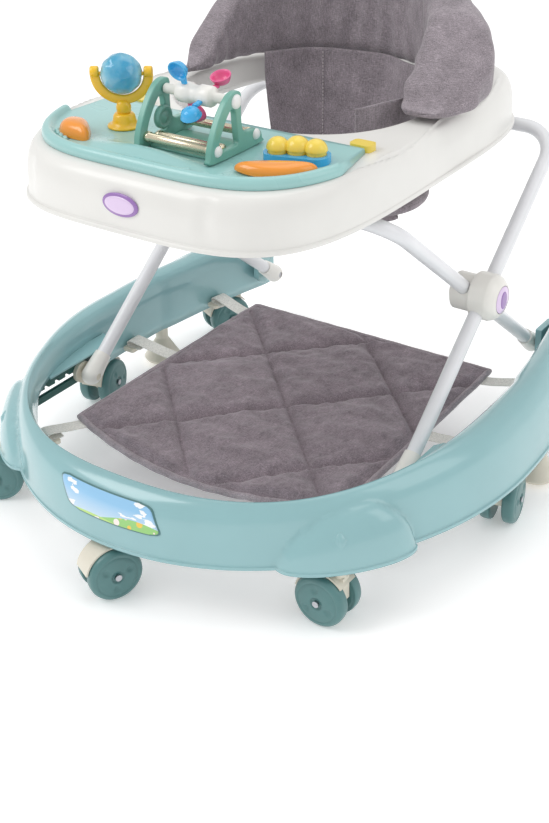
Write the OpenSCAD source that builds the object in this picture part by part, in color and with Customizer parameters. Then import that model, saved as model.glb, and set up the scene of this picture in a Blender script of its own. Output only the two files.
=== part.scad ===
// Baby walker: U-shaped base on seven casters, crossed-tube folding frame, tray with a toy panel, sling seat.
// Units mm. Origin on the floor at the middle of the base. The front of the walker faces -Y, +Z is up.

/* [Base] */
// half width of the base rim
base_half_w = 299; // [270:1:320]
// distance from the base's widest line to the front rim
base_front = 331; // [300:1:360]
// same distance for the curve that the two rear arms follow
base_rear = 480; // [420:1:520]
// y of the base's widest line
base_mid_y = 28; // [0:1:60]
// height of the rim's lower edge above the floor
rim_z = 63; // [56:1:80]
// height of the ring's top at the front
top_front_z = 128; // [110:1:140]
// extra height of the ring's top along the sides
top_rise = 10; // [0:1:20]

/* [Casters] */
// wheel radius
wheel_r = 28; // [24:1:32]
// thickness of one wheel disc
disc_w = 15; // [10:1:18]
// gap between the two discs of a caster
disc_gap = 13; // [10:1:18]
// distance from swivel stem to wheel axle
trail = 14; // [8:1:24]
// swivel stem radius
stem_r = 4; // [3:0.5:6]

/* [Folding frame] */
// outside radius of the frame tubes
tube_r = 8; // [7:0.5:12]
// tube wall
tube_wall = 1.5; // [1:0.1:3]
// height of the four lower pivots
pivot_z = 90; // [80:1:110]
// y of the fixed rear pivot
rear_pivot_y = 263; // [240:1:280]
// leg length from lower pivot to hub
leg_low = 220.3; // [200:0.1:240]
// leg length from hub to the upper cross tube
leg_up = 219; // [200:0.1:240]
// leg angle above the floor with the tray at its highest
leg_angle = 38.46; // [17:0.01:45]
// x of the legs that start at the rear pivots
inner_leg_x = 191; // [180:1:200]
// x of the legs that start at the front sliders
outer_leg_x = 209; // [198:1:220]
// radius of the bends at the cross tubes
bend_r = 40; // [25:1:60]

/* [Tray] */
// half width of the tray
tray_half_w = 186; // [170:1:210]
// height of the tray skirt's lower edge
tray_low_z = 373; // [360:1:390]
// height of the tray's top face
tray_top_z = 428; // [415:1:445]
// y of the tray's widest line
tray_mid_y = 20; // [0:1:40]
// distance from there to the tray's front
tray_front = 267; // [240:1:290]
// distance from there to the tray's rear
tray_rear = 280; // [250:1:300]
// half width of the seat opening
opening_half_w = 142; // [120:1:150]
// y of the seat opening's middle
seat_y = 78; // [60:1:100]
// half length of the seat opening
opening_half_l = 137; // [110:1:150]

/* [Foot mat] */
// half width of the mat
mat_half_w = 176; // [160:1:185]
// front edge of the mat
mat_front_y = -182; // [-200:1:-130]
// rear edge of the mat
mat_rear_y = 196; // [180:1:210]
// underside of the mat
mat_z = 74; // [65:1:85]
// mat thickness
mat_t = 6; // [3:1:10]

/* [Seat] */
// height of the seat's floor
seat_floor_z = 272; // [250:1:320]
// height of the backrest's top
back_top_z = 566; // [500:1:620]
// thickness of the padded backrest
back_t = 36; // [20:1:45]

/* [Hidden] */
$fn = 48;

TEAL = [0.60, 0.78, 0.77];
DARK_TEAL = [0.16, 0.36, 0.34];
WHEEL_TEAL = [0.33, 0.52, 0.52];
CREAM = [0.90, 0.87, 0.80];
IVORY = [0.93, 0.92, 0.88];
WHITE = [0.95, 0.95, 0.94];
GREY = [0.58, 0.54, 0.56];
STEEL = [0.75, 0.75, 0.77];
YELLOW = [0.96, 0.80, 0.28];
ORANGE = [0.96, 0.62, 0.26];
BLUE = [0.30, 0.66, 0.88];
PURPLE = [0.60, 0.42, 0.74];
PINK = [0.93, 0.42, 0.60];

pin_r = 4;           // radius of the pivot and hub pins
bracket_x = 203.2;   // inner face of the rear brackets
bracket_t = 8;
run = 0.05;          // radial running clearance of every shaft
touch = 0.2;         // gap kept between faces that slide past each other

// ---- lower and upper ends of the folding frame ----
leg = leg_low + leg_up;
front_pivot_y = rear_pivot_y - 2 * leg_low * cos(leg_angle);
hub_y = rear_pivot_y - leg_low * cos(leg_angle);
hub_z = pivot_z + leg_low * sin(leg_angle);
cross_z = pivot_z + leg * sin(leg_angle);
cross_front_y = rear_pivot_y - leg * cos(leg_angle);
cross_rear_y = front_pivot_y + leg * cos(leg_angle);

// ---- caster stems: [x, y, heading of the axle from the stem, height of the socket's tip] ----
CASTER_FRONT = [0, -278, 243, 122];
CASTER_CORNER_RIGHT = [215, -211, 180, 106];
CASTER_CORNER_LEFT = [-214.5, -211.5, 212, 104];
CASTER_SIDE_RIGHT = [272, 16, 100, 131];
CASTER_SIDE_LEFT = [-272, 14, 283, 131];
CASTER_REAR_RIGHT = [245, 245, 60, 132];
CASTER_REAR_LEFT = [-245, 245, 243, 132];
CASTERS = [
    CASTER_FRONT, CASTER_CORNER_RIGHT, CASTER_CORNER_LEFT, CASTER_SIDE_RIGHT,
    CASTER_SIDE_LEFT, CASTER_REAR_RIGHT, CASTER_REAR_LEFT
];
BRAKE = [270, 118];

// ---------------------------------------------------------------- shared shapes

// signed power, used for superellipses
function spow(v, e) = v < 0 ? -pow(-v, e) : pow(v, e);
function unit2(v) = v / norm(v);
// half-ellipsoid bump around angle c: half widths before and after c, and the height share where it ends
function lobe(t, share, c, w_before, w_after, tall) =
    let (d = abs(t) - c)
    let (k = pow(d / (d < 0 ? w_before : w_after), 2) + pow(share / tall, 2))
    k < 1 ? sqrt(1 - k) : 0;

// a closed loop of points swept through its stations; cap_apex is the loop index the end caps fan from
module swept(stations, cap_apex, closed = false) {
    n = len(stations);
    m = len(stations[0]);
    last = closed ? n : n - 1;
    points = [for (s = stations) each s];
    sides = [
        for (i = [0 : last - 1])
            for (j = [0 : m - 1])
                let (a = i * m + j, b = i * m + (j + 1) % m)
                let (k = (i + 1) % n)
                let (c = k * m + (j + 1) % m, d = k * m + j)
                each [[a, b, c], [a, c, d]]
    ];
    caps = closed ? [] : [
        for (j = [1 : m - 2])
            let (p = (cap_apex + j) % m, q = (cap_apex + j + 1) % m)
            each [[cap_apex, q, p], [(n - 1) * m + cap_apex, (n - 1) * m + p, (n - 1) * m + q]]
    ];
    polyhedron(points = points, faces = concat(sides, caps), convexity = 8);
}

module rounded_bar(length, width, height, corner) {
    linear_extrude(height)
        union() {
            square([length - 2 * corner, width], center = true);
            square([length, width - 2 * corner], center = true);
            for (sx = [-1, 1], sy = [-1, 1])
                translate([sx * (length / 2 - corner), sy * (width / 2 - corner)])
                    circle(r = corner);
        }
}

module x_rod(radius, x_from, x_to) {
    translate([x_from, 0, 0])
        rotate([0, 90, 0])
            cylinder(r = radius, h = x_to - x_from);
}

module mirrored_pair() {
    children();
    mirror([1, 0, 0]) children();
}

// ---------------------------------------------------------------- base

inner_half_w = 245;
inner_front = 292;
inner_rear = 440;
arm_end_t = 118;
full_width = 46;     // ring width from which its section has its full size

function rim_outer(t) = [
    base_half_w * sin(t),
    base_mid_y - (cos(t) > 0 ? base_front : base_rear) * cos(t)
];
function inner_power(t) = cos(t) > 0 ? 2 / 2.6 : 2 / 2.4;
function rim_inner(t) = [
    inner_half_w * spow(sin(t), inner_power(t)),
    base_mid_y - (cos(t) > 0 ? inner_front : inner_rear) * spow(cos(t), inner_power(t))
];
function ring_top(t) = top_front_z + top_rise * (1 - cos(min(180, max(0, (abs(t) - 25) * 3)))) / 2;
function bump_out(t, share) = 22 * lobe(t, share, 50.5, 16.5, 8.5, 0.84) + 12 * lobe(t, share, 113, 14, 14, 1.2);
function bump_in(t) = 7 * lobe(t, 0, 112, 16, 16, 1);

// outer skin, then inner skin: [1 = measured from the outer rim, 0 = from the inner rim, inset, height share]
RING_SKIN = [
    [1, 0, 0], [1, 0, 0.05], [1, 2.5, 0.08], [1, 4, 0.3], [1, 7, 0.55], [1, 12, 0.75], [1, 19, 0.88],
    [1, 27, 0.96], [1, 35, 1], [0, 10, 0.97], [0, 4, 0.9], [0, 1, 0.78], [0, 0, 0.6], [0, 3, 0]
];
RING_INSIDE = [
    [0, 6, 0], [0, 3.2, 0.6], [0, 4.5, 0.76], [0, 7.5, 0.86], [0, 13, 0.92], [1, 34, 0.955],
    [1, 27.5, 0.915], [1, 20, 0.835], [1, 14.5, 0.71], [1, 10, 0.53], [1, 7.2, 0.3], [1, 5.8, 0]
];
// stations along one side; the last ones draw in to a rounded end: [t, share of size]
RING_END = [[arm_end_t + 2, 0.99], [arm_end_t + 3.6, 0.93], [arm_end_t + 4.6, 0.8], [arm_end_t + 5.1, 0.62]];
RING_SIDE = concat([for (t = [4 : 4 : 32]) [t, 1]], [for (t = [35 : 2.5 : 62.5]) [t, 1]],
                   [for (t = [67 : 5.5 : 94.5]) [t, 1]], [for (t = [98.5 : 3.25 : arm_end_t]) [t, 1]], RING_END);
RING_STATIONS = concat([for (i = [len(RING_SIDE) - 1 : -1 : 0]) [-RING_SIDE[i][0], RING_SIDE[i][1]]],
                       [[0, 1]], RING_SIDE);

function ring_point(t, size, p) =
    let (o = rim_outer(t), i = rim_inner(t), n = unit2(o - i), mid = (o + i) / 2)
    let (z = rim_z + (ring_top(t) - rim_z) * p[2] * size)
    let (inset = p[1] * min(1, norm(o - i) / full_width))
    let (flat = p[0] == 1 ? o + n * (bump_out(t, p[2]) - inset) : i + n * (inset - bump_in(t)))
    let (xy = mid + (flat - mid) * size)
    [xy[0], xy[1], z];
function ring_floor(t, size, share) =
    let (a = ring_point(t, size, RING_SKIN[13]), b = ring_point(t, size, RING_SKIN[0]))
    a + (b - a) * share;
function ring_loop(t, size) = concat(
    [for (p = RING_SKIN) ring_point(t, size, p)],
    size < 1
        ? [for (k = [1 : len(RING_INSIDE)]) ring_floor(t, size, k / (len(RING_INSIDE) + 1))]
        : [for (p = RING_INSIDE) ring_point(t, size, p)]
);

// bay in the inner wall where the slider and the foot of the front leg travel
SLIDER_BAY = [
    [160, -196], [222, -196], [238, -150], [246, -100], [250, -64], [228, -64], [205, -110], [175, -160]
];
bay_top_z = 106;
// shelf over the bay, level with the bay's top
SHELF = [[219, -138], [219, -36], [226, -26], [243, -20], [243, -60], [238, -100], [228, -136]];
socket_low_z = rim_z + 2;
socket_depth = 33;

module base_ring() {
    color(TEAL)
        difference() {
            union() {
                swept([for (s = RING_STATIONS) ring_loop(s[0], s[1])], 8);
                // each caster socket runs up to a tip that meets the underside of the ring's top
                for (c = CASTERS)
                    translate([c[0], c[1], 0]) {
                        translate([0, 0, socket_low_z])
                            cylinder(r = 8, h = socket_depth + 2);
                        translate([0, 0, socket_low_z + socket_depth + 1])
                            cylinder(r1 = 8, r2 = 2.5, h = c[3] - socket_low_z - socket_depth - 1);
                    }
                mirrored_pair() {
                    translate([BRAKE[0], BRAKE[1], rim_z - 4]) {
                        cylinder(r = 11, h = 46);
                        translate([0, 0, 46])
                            cylinder(r1 = 11, r2 = 2.5, h = 30);
                    }
                    translate([0, 0, bay_top_z])
                        linear_extrude(3)
                            polygon(SHELF);
                    // pads that the slide rail and the rear bracket screw to
                    translate([236, -55, 80])
                        cube([10, 15, 20]);
                    translate([236, -182, 80])
                        cube([20, 14, 16]);
                    translate([bracket_x + bracket_t, 248, 84])
                        cube([10, 30, 32]);
                }
            }
            for (c = CASTERS)
                translate([c[0], c[1], socket_low_z - 1])
                    cylinder(r = stem_r + run, h = socket_depth + 1);
            mirrored_pair() {
                translate([BRAKE[0], BRAKE[1], rim_z - 5])
                    cylinder(r = 8 + run, h = 43);
                translate([0, 0, rim_z - 5])
                    linear_extrude(bay_top_z - rim_z + 5)
                        polygon(SLIDER_BAY);
            }
        }
}

// picture plate on the front of the ring, bent to the same curve as the ring
LABEL_BACK = [[1, 4.33, 0.34], [1, 6.85, 0.55], [1, 11.85, 0.75], [1, 16.7, 0.84]];
LABEL_FACE = [[1, 15.9, 0.85], [1, 10.9, 0.76], [1, 5.8, 0.56], [1, 3.3, 0.34]];
module front_label() {
    color(WHITE)
        swept([
            for (t = [-11, -8, -4, 0, 4, 8, 11])
                [for (p = concat(LABEL_BACK, LABEL_FACE)) ring_point(t, 1, p)]
        ], 0);
}

rail_x = 226;
rail_t = 5;
slot_h = 7;
bar_h = 8.5;
rail_front_y = -182;
rail_rear_y = -40;
module slide_rail_side() {
    difference() {
        union() {
            translate([rail_x, rail_front_y, pivot_z - slot_h / 2 - bar_h])
                cube([rail_t, rail_rear_y - rail_front_y, slot_h + 2 * bar_h]);
            // spacers against the pads of the base
            for (y = [rail_front_y, rail_rear_y - 14])
                translate([rail_x + rail_t, y, pivot_z - 8])
                    cube([236 - rail_x - rail_t, 14, 14]);
        }
        // slot for the slider pin
        translate([rail_x - 1, rail_front_y + 18, pivot_z - slot_h / 2])
            cube([rail_t + 2, rail_rear_y - rail_front_y - 40, slot_h]);
        // rack notches that the height lock drops into
        for (k = [0 : 5])
            translate([rail_x - 1, rail_front_y + 24 + k * 17, pivot_z + slot_h / 2 - 0.5])
                cube([rail_t + 2, 6, 4]);
    }
}
module slide_rail_right() {
    color(DARK_TEAL) slide_rail_side();
}
module slide_rail_left() {
    color(DARK_TEAL) mirror([1, 0, 0]) slide_rail_side();
}

module rear_brackets() {
    color(TEAL)
        mirrored_pair()
            difference() {
                union() {
                    translate([bracket_x, 245, 84])
                        cube([bracket_t, 36, 34]);
                    translate([0, rear_pivot_y, pivot_z])
                        x_rod(16, bracket_x, bracket_x + bracket_t);
                }
                translate([0, rear_pivot_y, pivot_z])
                    x_rod(pin_r, bracket_x - 1, bracket_x + bracket_t + 1);
            }
}
module rear_pivot_pins() {
    color(STEEL)
        mirrored_pair()
            translate([0, rear_pivot_y, pivot_z]) {
                x_rod(pin_r, 181, bracket_x + bracket_t - touch);
            }
}

// rectangle whose front edge bows forward between its two corners
mat_corner_y = mat_front_y + 40;
MAT_OUTLINE = concat(
    [[-mat_half_w + 4, mat_rear_y], [-mat_half_w, mat_corner_y]],
    [for (k = [-4 : 4]) [k * mat_half_w / 4.4, mat_front_y + 40 * pow(k / 4.6, 2)]],
    [[mat_half_w, mat_corner_y], [mat_half_w - 4, mat_rear_y]]
);
module foot_mat() {
    color(GREY)
        translate([0, 0, mat_z])
            linear_extrude(mat_t)
                polygon(MAT_OUTLINE);
}

// tie straps, sewn under the mat's edge: [x at the mat, y at the mat, x at the base, y at the base]
STRAPS = [
    [mat_half_w - 14, 30, 244, 30],
    [mat_half_w - 16, 170, 228.5, 184],
    [mat_half_w - 20, mat_front_y + 48, 179, -196.2]
];
strap_w = 22;
strap_t = 1.6;
clip_t = 4;
module on_strap(s) {
    translate([s[0], s[1], mat_z - strap_t])
        rotate([0, 0, atan2(s[3] - s[1], s[2] - s[0])])
            children();
}
module mat_straps() {
    color(IVORY)
        mirrored_pair()
            for (s = STRAPS)
                on_strap(s)
                    translate([0, -strap_w / 2, 0])
                        cube([norm([s[2] - s[0], s[3] - s[1]]), strap_w, strap_t]);
}
module strap_clips() {
    color(CREAM)
        mirrored_pair()
            for (s = STRAPS)
                on_strap(s)
                    translate([norm([s[2] - s[0], s[3] - s[1]]) - 6, 0, -clip_t])
                        difference() {
                            rounded_bar(16, 30, clip_t, 3);
                            translate([-2, -11, -1])
                                cube([4, 22, clip_t + 2]);
                        }
}

// ---------------------------------------------------------------- brake posts

foot_z = 6;
module brake_post_side() {
    translate([BRAKE[0], BRAKE[1], 0]) {
        translate([0, 0, foot_z + 20])
            cylinder(r = 8, h = 70);
        translate([0, 0, foot_z + 4])
            cylinder(r1 = 24, r2 = 8, h = 26);
        translate([0, 0, foot_z])
            cylinder(r1 = 22, r2 = 24, h = 4);
    }
}
module brake_post_right() {
    color(CREAM) brake_post_side();
}
module brake_post_left() {
    color(CREAM) mirror([1, 0, 0]) brake_post_side();
}

// ---------------------------------------------------------------- casters

axle_r = 2.5;
disc_in = disc_gap / 2;
disc_out = disc_in + disc_w;
module at_caster(c) {
    translate([c[0], c[1], 0])
        rotate([0, 0, c[2]])
            children();
}
module caster_fork(c) {
    web_t = disc_gap - 2;
    neck_z = wheel_r + 26;
    shoulder_z = socket_low_z - touch;
    color(CREAM)
        at_caster(c)
            difference() {
                union() {
                    translate([0, 0, shoulder_z - 1])
                        cylinder(r = stem_r, h = socket_depth);
                    translate([0, 0, neck_z])
                        cylinder(r = 7, h = shoulder_z - neck_z);
                    translate([trail, web_t / 2, wheel_r])
                        rotate([90, 0, 0])
                            cylinder(r = 12, h = web_t);
                    translate([-7, -web_t / 2, wheel_r])
                        cube([trail + 14, web_t, 26.5]);
                    // mudguard over the two discs
                    translate([trail, 0, wheel_r])
                        rotate([90, 0, 0])
                            rotate([0, 0, 12])
                                rotate_extrude(angle = 128)
                                    translate([wheel_r + 0.7, -13])
                                        square([1.9, 26]);
                }
                translate([trail, web_t, wheel_r])
                    rotate([90, 0, 0])
                        cylinder(r = axle_r + run, h = 2 * web_t);
            }
}
module caster_wheels(c) {
    color(WHEEL_TEAL)
        at_caster(c)
            translate([trail, 0, wheel_r])
                for (side = [-90, 90])
                    rotate([side, 0, 0])
                        rotate_extrude()
                            polygon([
                                [axle_r + run, disc_in], [wheel_r - 1.5, disc_in], [wheel_r, disc_in + 1.5],
                                [wheel_r, disc_out - 2.5], [wheel_r - 2, disc_out - 0.5],
                                [wheel_r - 5, disc_out], [21, disc_out], [20, disc_out - 1.5],
                                [17, disc_out - 1.5], [16, disc_out], [axle_r + run, disc_out]
                            ]);
}
module caster_axle(c) {
    color(STEEL)
        at_caster(c)
            translate([trail, 0, wheel_r])
                rotate([90, 0, 0]) {
                    cylinder(r = axle_r, h = 2 * disc_out + 1, center = true);
                    for (side = [-1, 1])
                        translate([0, 0, side * (disc_out + touch + 0.6)])
                            cylinder(r = 3.4, h = 1.2, center = true);
                }
}

// ---------------------------------------------------------------- folding frame

// U-shaped tube lying in the XZ plane: legs stand on z = start, cross tube at z = leg
module u_solid(leg_x, start, radius) {
    for (side = [-1, 1]) {
        translate([side * leg_x, 0, start])
            cylinder(r = radius, h = leg - bend_r - start);
        translate([side * (leg_x - bend_r), 0, leg - bend_r])
            rotate([90, 0, 0])
                rotate([0, 0, side > 0 ? 0 : 90])
                    rotate_extrude(angle = 90)
                        translate([bend_r, 0])
                            circle(r = radius);
    }
    translate([0, 0, leg])
        x_rod(radius, bend_r - leg_x, leg_x - bend_r);
}
tube_start = 9;
module u_tube(leg_x) {
    difference() {
        u_solid(leg_x, tube_start, tube_r);
        u_solid(leg_x, tube_start - 1, tube_r - tube_wall);
        // hole for the hub pin
        translate([0, 0, leg_low])
            x_rod(pin_r + run, -leg_x - 20, leg_x + 20);
    }
}
module on_rear_leg() {
    translate([0, rear_pivot_y, pivot_z])
        rotate([90 - leg_angle, 0, 0])
            children();
}
module on_front_leg() {
    translate([0, front_pivot_y, pivot_z])
        rotate([leg_angle - 90, 0, 0])
            children();
}
collar_r = 11.8;
module tube_ends(leg_x) {
    for (side = [-1, 1])
        translate([side * leg_x, 0, 0])
            difference() {
                union() {
                    cylinder(r1 = collar_r, r2 = 9.6, h = 28);
                    sphere(r = collar_r);
                }
                translate([0, 0, tube_start])
                    cylinder(r = tube_r, h = 20);
                x_rod(pin_r + run, -15, 15);
            }
}
module rear_leg_tube() {
    color(WHITE) on_rear_leg() u_tube(inner_leg_x);
}
module rear_tube_ends() {
    color(IVORY) on_rear_leg() tube_ends(inner_leg_x);
}
module front_leg_tube() {
    color(WHITE) on_front_leg() u_tube(outer_leg_x);
}
module front_tube_ends() {
    color(IVORY) on_front_leg() tube_ends(outer_leg_x);
}

leg_gap_x = (inner_leg_x + outer_leg_x) / 2;
hub_r = 26;
hub_face_x = 231;
module hub_inner_covers() {
    color(IVORY)
        mirrored_pair()
            difference() {
                translate([0, hub_y, hub_z]) {
                    x_rod(21, 177, leg_gap_x - touch);
                    x_rod(14, 173, 178);
                }
                on_rear_leg()
                    translate([inner_leg_x, 0, leg_low - 60])
                        cylinder(r = tube_r, h = 120);
                translate([0, hub_y, hub_z])
                    x_rod(pin_r, 170, 240);
            }
}
module hub_outer_covers() {
    color(IVORY)
        mirrored_pair()
            difference() {
                translate([0, hub_y, hub_z])
                    rotate([0, 90, 0])
                        rotate_extrude()
                            polygon([
                                [pin_r + run, leg_gap_x + touch], [hub_r - 1, leg_gap_x + touch],
                                [hub_r, leg_gap_x + 2], [hub_r, 219], [hub_r - 2, 224], [hub_r - 6, 228.5],
                                [hub_r - 10, hub_face_x], [15.2, hub_face_x], [15.2, hub_face_x - 3],
                                [pin_r + run, hub_face_x - 3]
                            ]);
                on_front_leg()
                    translate([outer_leg_x, 0, leg_low - 60])
                        cylinder(r = tube_r, h = 120);
            }
}
module hub_caps() {
    color(PURPLE)
        mirrored_pair()
            translate([0, hub_y, hub_z])
                rotate([0, 90, 0])
                    rotate_extrude()
                        polygon([
                            [0, hub_face_x - 2.8], [15, hub_face_x - 2.8], [15, hub_face_x],
                            [11, hub_face_x + 1.4], [0, hub_face_x + 2]
                        ]);
}
module hub_pins() {
    color(STEEL)
        mirrored_pair()
            translate([0, hub_y, hub_z])
                x_rod(pin_r, 174, hub_face_x - 4);
}

module slider_side() {
    translate([0, front_pivot_y, pivot_z]) {
        x_rod(pin_r, 199, 221.5);
        x_rod(13, 221, rail_x - touch);
        x_rod(slot_h / 2 - 0.06, rail_x - 1, rail_x + rail_t + 1);
        x_rod(6, rail_x + rail_t + touch, rail_x + rail_t + 3);
    }
}
module slider_right() {
    color(CREAM) slider_side();
}
module slider_left() {
    color(CREAM) mirror([1, 0, 0]) slider_side();
}

// ---------------------------------------------------------------- tray

tray_power = 2 / 4;
opening_power = 2 / 2.4;
function tray_edge(t) = [
    tray_half_w * spow(sin(t), tray_power),
    tray_mid_y - (cos(t) > 0 ? tray_front : tray_rear) * spow(cos(t), tray_power)
];
function opening_edge(t) = [
    opening_half_w * spow(sin(t), opening_power),
    seat_y - opening_half_l * spow(cos(t), opening_power)
];
TRAY_LOOP = [
    [1, 0, 0], [1, 0, 0.06], [1, 3, 0.1], [1, 3.5, 0.6], [1, 7, 0.83], [1, 14, 0.96], [1, 22, 1],
    [0, 9, 1], [0, 3, 0.97], [0, 0, 0.88], [0, 0, 0.62], [0, 3, 0.62], [0, 3.2, 0.86], [0, 9, 0.93],
    [1, 22, 0.93], [1, 15.5, 0.9], [1, 10, 0.79], [1, 6.8, 0.58], [1, 6, 0]
];
function tray_point(t, p) =
    let (o = tray_edge(t), i = opening_edge(t), n = unit2(o - i))
    let (xy = p[0] == 1 ? o - n * p[1] : i + n * p[1])
    [xy[0], xy[1], tray_low_z + (tray_top_z - tray_low_z) * p[2]];
module tray() {
    color(WHITE)
        swept([for (t = [-180 : 6 : 174]) [for (p = TRAY_LOOP) tray_point(t, p)]], 0, true);
}

tray_roof_z = tray_low_z + (tray_top_z - tray_low_z) * 0.93;
guide_x = 100;
guide_w = 12;
cross_front_folded_y = cross_rear_y - 2 * leg_up * cos(17.5);
module tray_brackets() {
    color(IVORY)
        mirrored_pair() {
            // rear saddle: the tray turns on the front legs' cross tube
            difference() {
                translate([guide_x - guide_w / 2, cross_rear_y - 14, cross_z - 13])
                    cube([guide_w, 27, tray_roof_z - 1.4 - cross_z + 13]);
                translate([0, cross_rear_y, cross_z])
                    x_rod(tube_r + run, guide_x - guide_w, guide_x + guide_w);
            }
            // front channel: the rear legs' cross tube slides in it as the frame folds
            difference() {
                translate([guide_x - guide_w / 2, cross_front_folded_y - 16, cross_z - 13])
                    cube([guide_w, cross_front_y - cross_front_folded_y + 32, tray_roof_z - cross_z + 13]);
                translate([guide_x - guide_w, cross_front_folded_y - 9, cross_z - tube_r - run])
                    cube([2 * guide_w, cross_front_y - cross_front_folded_y + 18, 2 * (tube_r + run)]);
            }
        }
}

module tray_badge() {
    color(PURPLE)
        translate([0, tray_mid_y - tray_front - 1.4, 402])
            rotate([90, 0, 0])
                linear_extrude(3, center = true)
                    intersection() {
                        translate([0, -14])
                            circle(r = 25);
                        translate([0, 14])
                            circle(r = 25);
                    }
}

// orange buttons: [x, y, turn, length]
LEFT_BUTTON = [-103, -186, 48, 46];
RIGHT_BUTTON = [122, -172, 30, 66];
button_w = 22;
button_corner = 10;
module at_button(b) {
    translate([b[0], b[1], 0])
        rotate([0, 0, b[2]])
            children();
}

panel_top_z = tray_top_z + 6;
panel_inset = 24;
panel_rear_y = -70;
PANEL_EDGE = [
    for (t = [-64 : 4 : 64])
        let (o = tray_edge(t), n = unit2(o - opening_edge(t)))
        o - n * panel_inset
];
module toy_panel() {
    color(TEAL)
        difference() {
            translate([0, 0, tray_top_z])
                linear_extrude(panel_top_z + 4 - tray_top_z)
                    intersection() {
                        polygon(PANEL_EDGE);
                        translate([-200, -300])
                            square([400, 300 + panel_rear_y]);
                    }
            // the raised lip stays round a sunken deck
            translate([0, 0, panel_top_z])
                linear_extrude(6)
                    intersection() {
                        polygon([for (p = PANEL_EDGE) [p[0] * 0.965, p[1] * 0.965 - 4]]);
                        translate([-200, -300])
                            square([400, 294 + panel_rear_y]);
                    }
            // pockets that the two orange buttons sink into
            translate([0, 0, tray_top_z + 1])
                for (b = [LEFT_BUTTON, RIGHT_BUTTON])
                    at_button(b)
                        rounded_bar(b[3] + 0.8, button_w + 0.8, 12, button_corner);
        }
}
module panel_latches() {
    color(YELLOW)
        for (x = [-125, 148])
            translate([x, panel_rear_y + 9, tray_top_z])
                rounded_bar(24, 16, 7, 5);
}

// ---------------------------------------------------------------- toys

BALL = [-79, -141];
ball_z = 488;
fork_turn = 32;
fork_r = 26;
module ball_pedestal() {
    color(YELLOW)
        translate([BALL[0], BALL[1], panel_top_z])
            difference() {
                union() {
                    cylinder(r = 16, h = 2.5);
                    translate([0, 0, 2])
                        cylinder(r1 = 13, r2 = 8, h = 12);
                }
                translate([0, 0, 4])
                    cylinder(r = 3 + run, h = 12);
            }
}
module at_ball() {
    translate([BALL[0], BALL[1], ball_z])
        rotate([0, 0, fork_turn])
            children();
}
module ball_fork() {
    color(YELLOW)
        at_ball() {
            rotate([90, 0, 0])
                rotate([0, 0, 180])
                    rotate_extrude(angle = 180)
                        translate([fork_r, 0])
                            circle(r = 3.4);
            for (side = [-1, 1]) {
                translate([side * fork_r, 0, 0])
                    sphere(r = 5);
                translate([side > 0 ? 14 : -fork_r, 0, 0])
                    x_rod(2, 0, 12);
            }
            translate([0, 0, 448.2 - ball_z])
                cylinder(r = 6, h = ball_z - 448.2 - fork_r);
            translate([0, 0, 439 - ball_z])
                cylinder(r = 3, h = 10);
        }
}
module rattle_ball() {
    color(BLUE)
        at_ball()
            difference() {
                sphere(r = 19.5, $fn = 12);
                x_rod(2 + run, -30, 30);
            }
}

car_x = 20;
car_y = -150;
car_half_w = 42;
car_side_t = 5;
CAR_OUTLINE = [
    [-36, 2], [36, 2], [37, 18], [22, 24], [13, 40], [-16, 40], [-24, 26], [-37, 20]
];
axle_z = panel_top_z + 52;
CAR_RODS = [[-30, 12], [-13, 8], [30, 12]];
module car_frame() {
    color(TEAL)
        translate([car_x, car_y, panel_top_z])
            for (side = [-1, 1])
                translate([side * car_half_w, 0, 0])
                    difference() {
                        union() {
                            rotate([90, 0, 90])
                                linear_extrude(car_side_t, center = true)
                                    difference() {
                                        polygon(CAR_OUTLINE);
                                        polygon([for (p = CAR_OUTLINE) [p[0] * 0.62, 8 + (p[1] - 8) * 0.6 + 6]]);
                                    }
                            for (y = [-26, 26])
                                translate([-car_side_t / 2, y - 4, 0])
                                    cube([car_side_t, 8, 8]);
                            translate([0, 0, 36])
                                translate([-car_side_t / 2, -7, 0])
                                    cube([car_side_t, 14, 22]);
                        }
                        translate([0, 0, axle_z - panel_top_z])
                            x_rod(2.5 + run, -5, 5);
                        for (r = CAR_RODS)
                            translate([0, r[0], r[1]])
                                x_rod(2.5, -5, 5);
                    }
}
module car_rods() {
    color(CREAM)
        translate([car_x, car_y, panel_top_z])
            for (r = CAR_RODS)
                translate([0, r[0], r[1]]) {
                    x_rod(2.5, -car_half_w - 5, car_half_w + 5);
                    x_rod(5, -car_half_w + 4, car_half_w - 4);
                }
}
module spinner_drum() {
    color(CREAM)
        translate([car_x, car_y, axle_z]) {
            x_rod(2.5, -car_half_w - 5, car_half_w + 5);
            x_rod(10, -17, 17);
            for (side = [-1, 1])
                translate([side * (car_half_w + 5.5), 0, 0])
                    x_rod(5, -1.5, 1.5);
        }
}
// four spoon-shaped paddles, each standing out of the drum
SPOONS = [[-11, 20], [11, 110], [-11, 200], [11, 290]];
module spinner_spoons() {
    color(PINK)
        translate([car_x, car_y, axle_z])
            for (s = SPOONS)
                rotate([s[1], 0, 0])
                    translate([s[0], 0, 9.97]) {
                        translate([0, 0, 4.1])
                            cube([5, 3.5, 8.2], center = true);
                        translate([0, 0, 16])
                            rotate([90, 0, 0])
                                cylinder(r = 10, h = 4.5, center = true);
                    }
}

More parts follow.
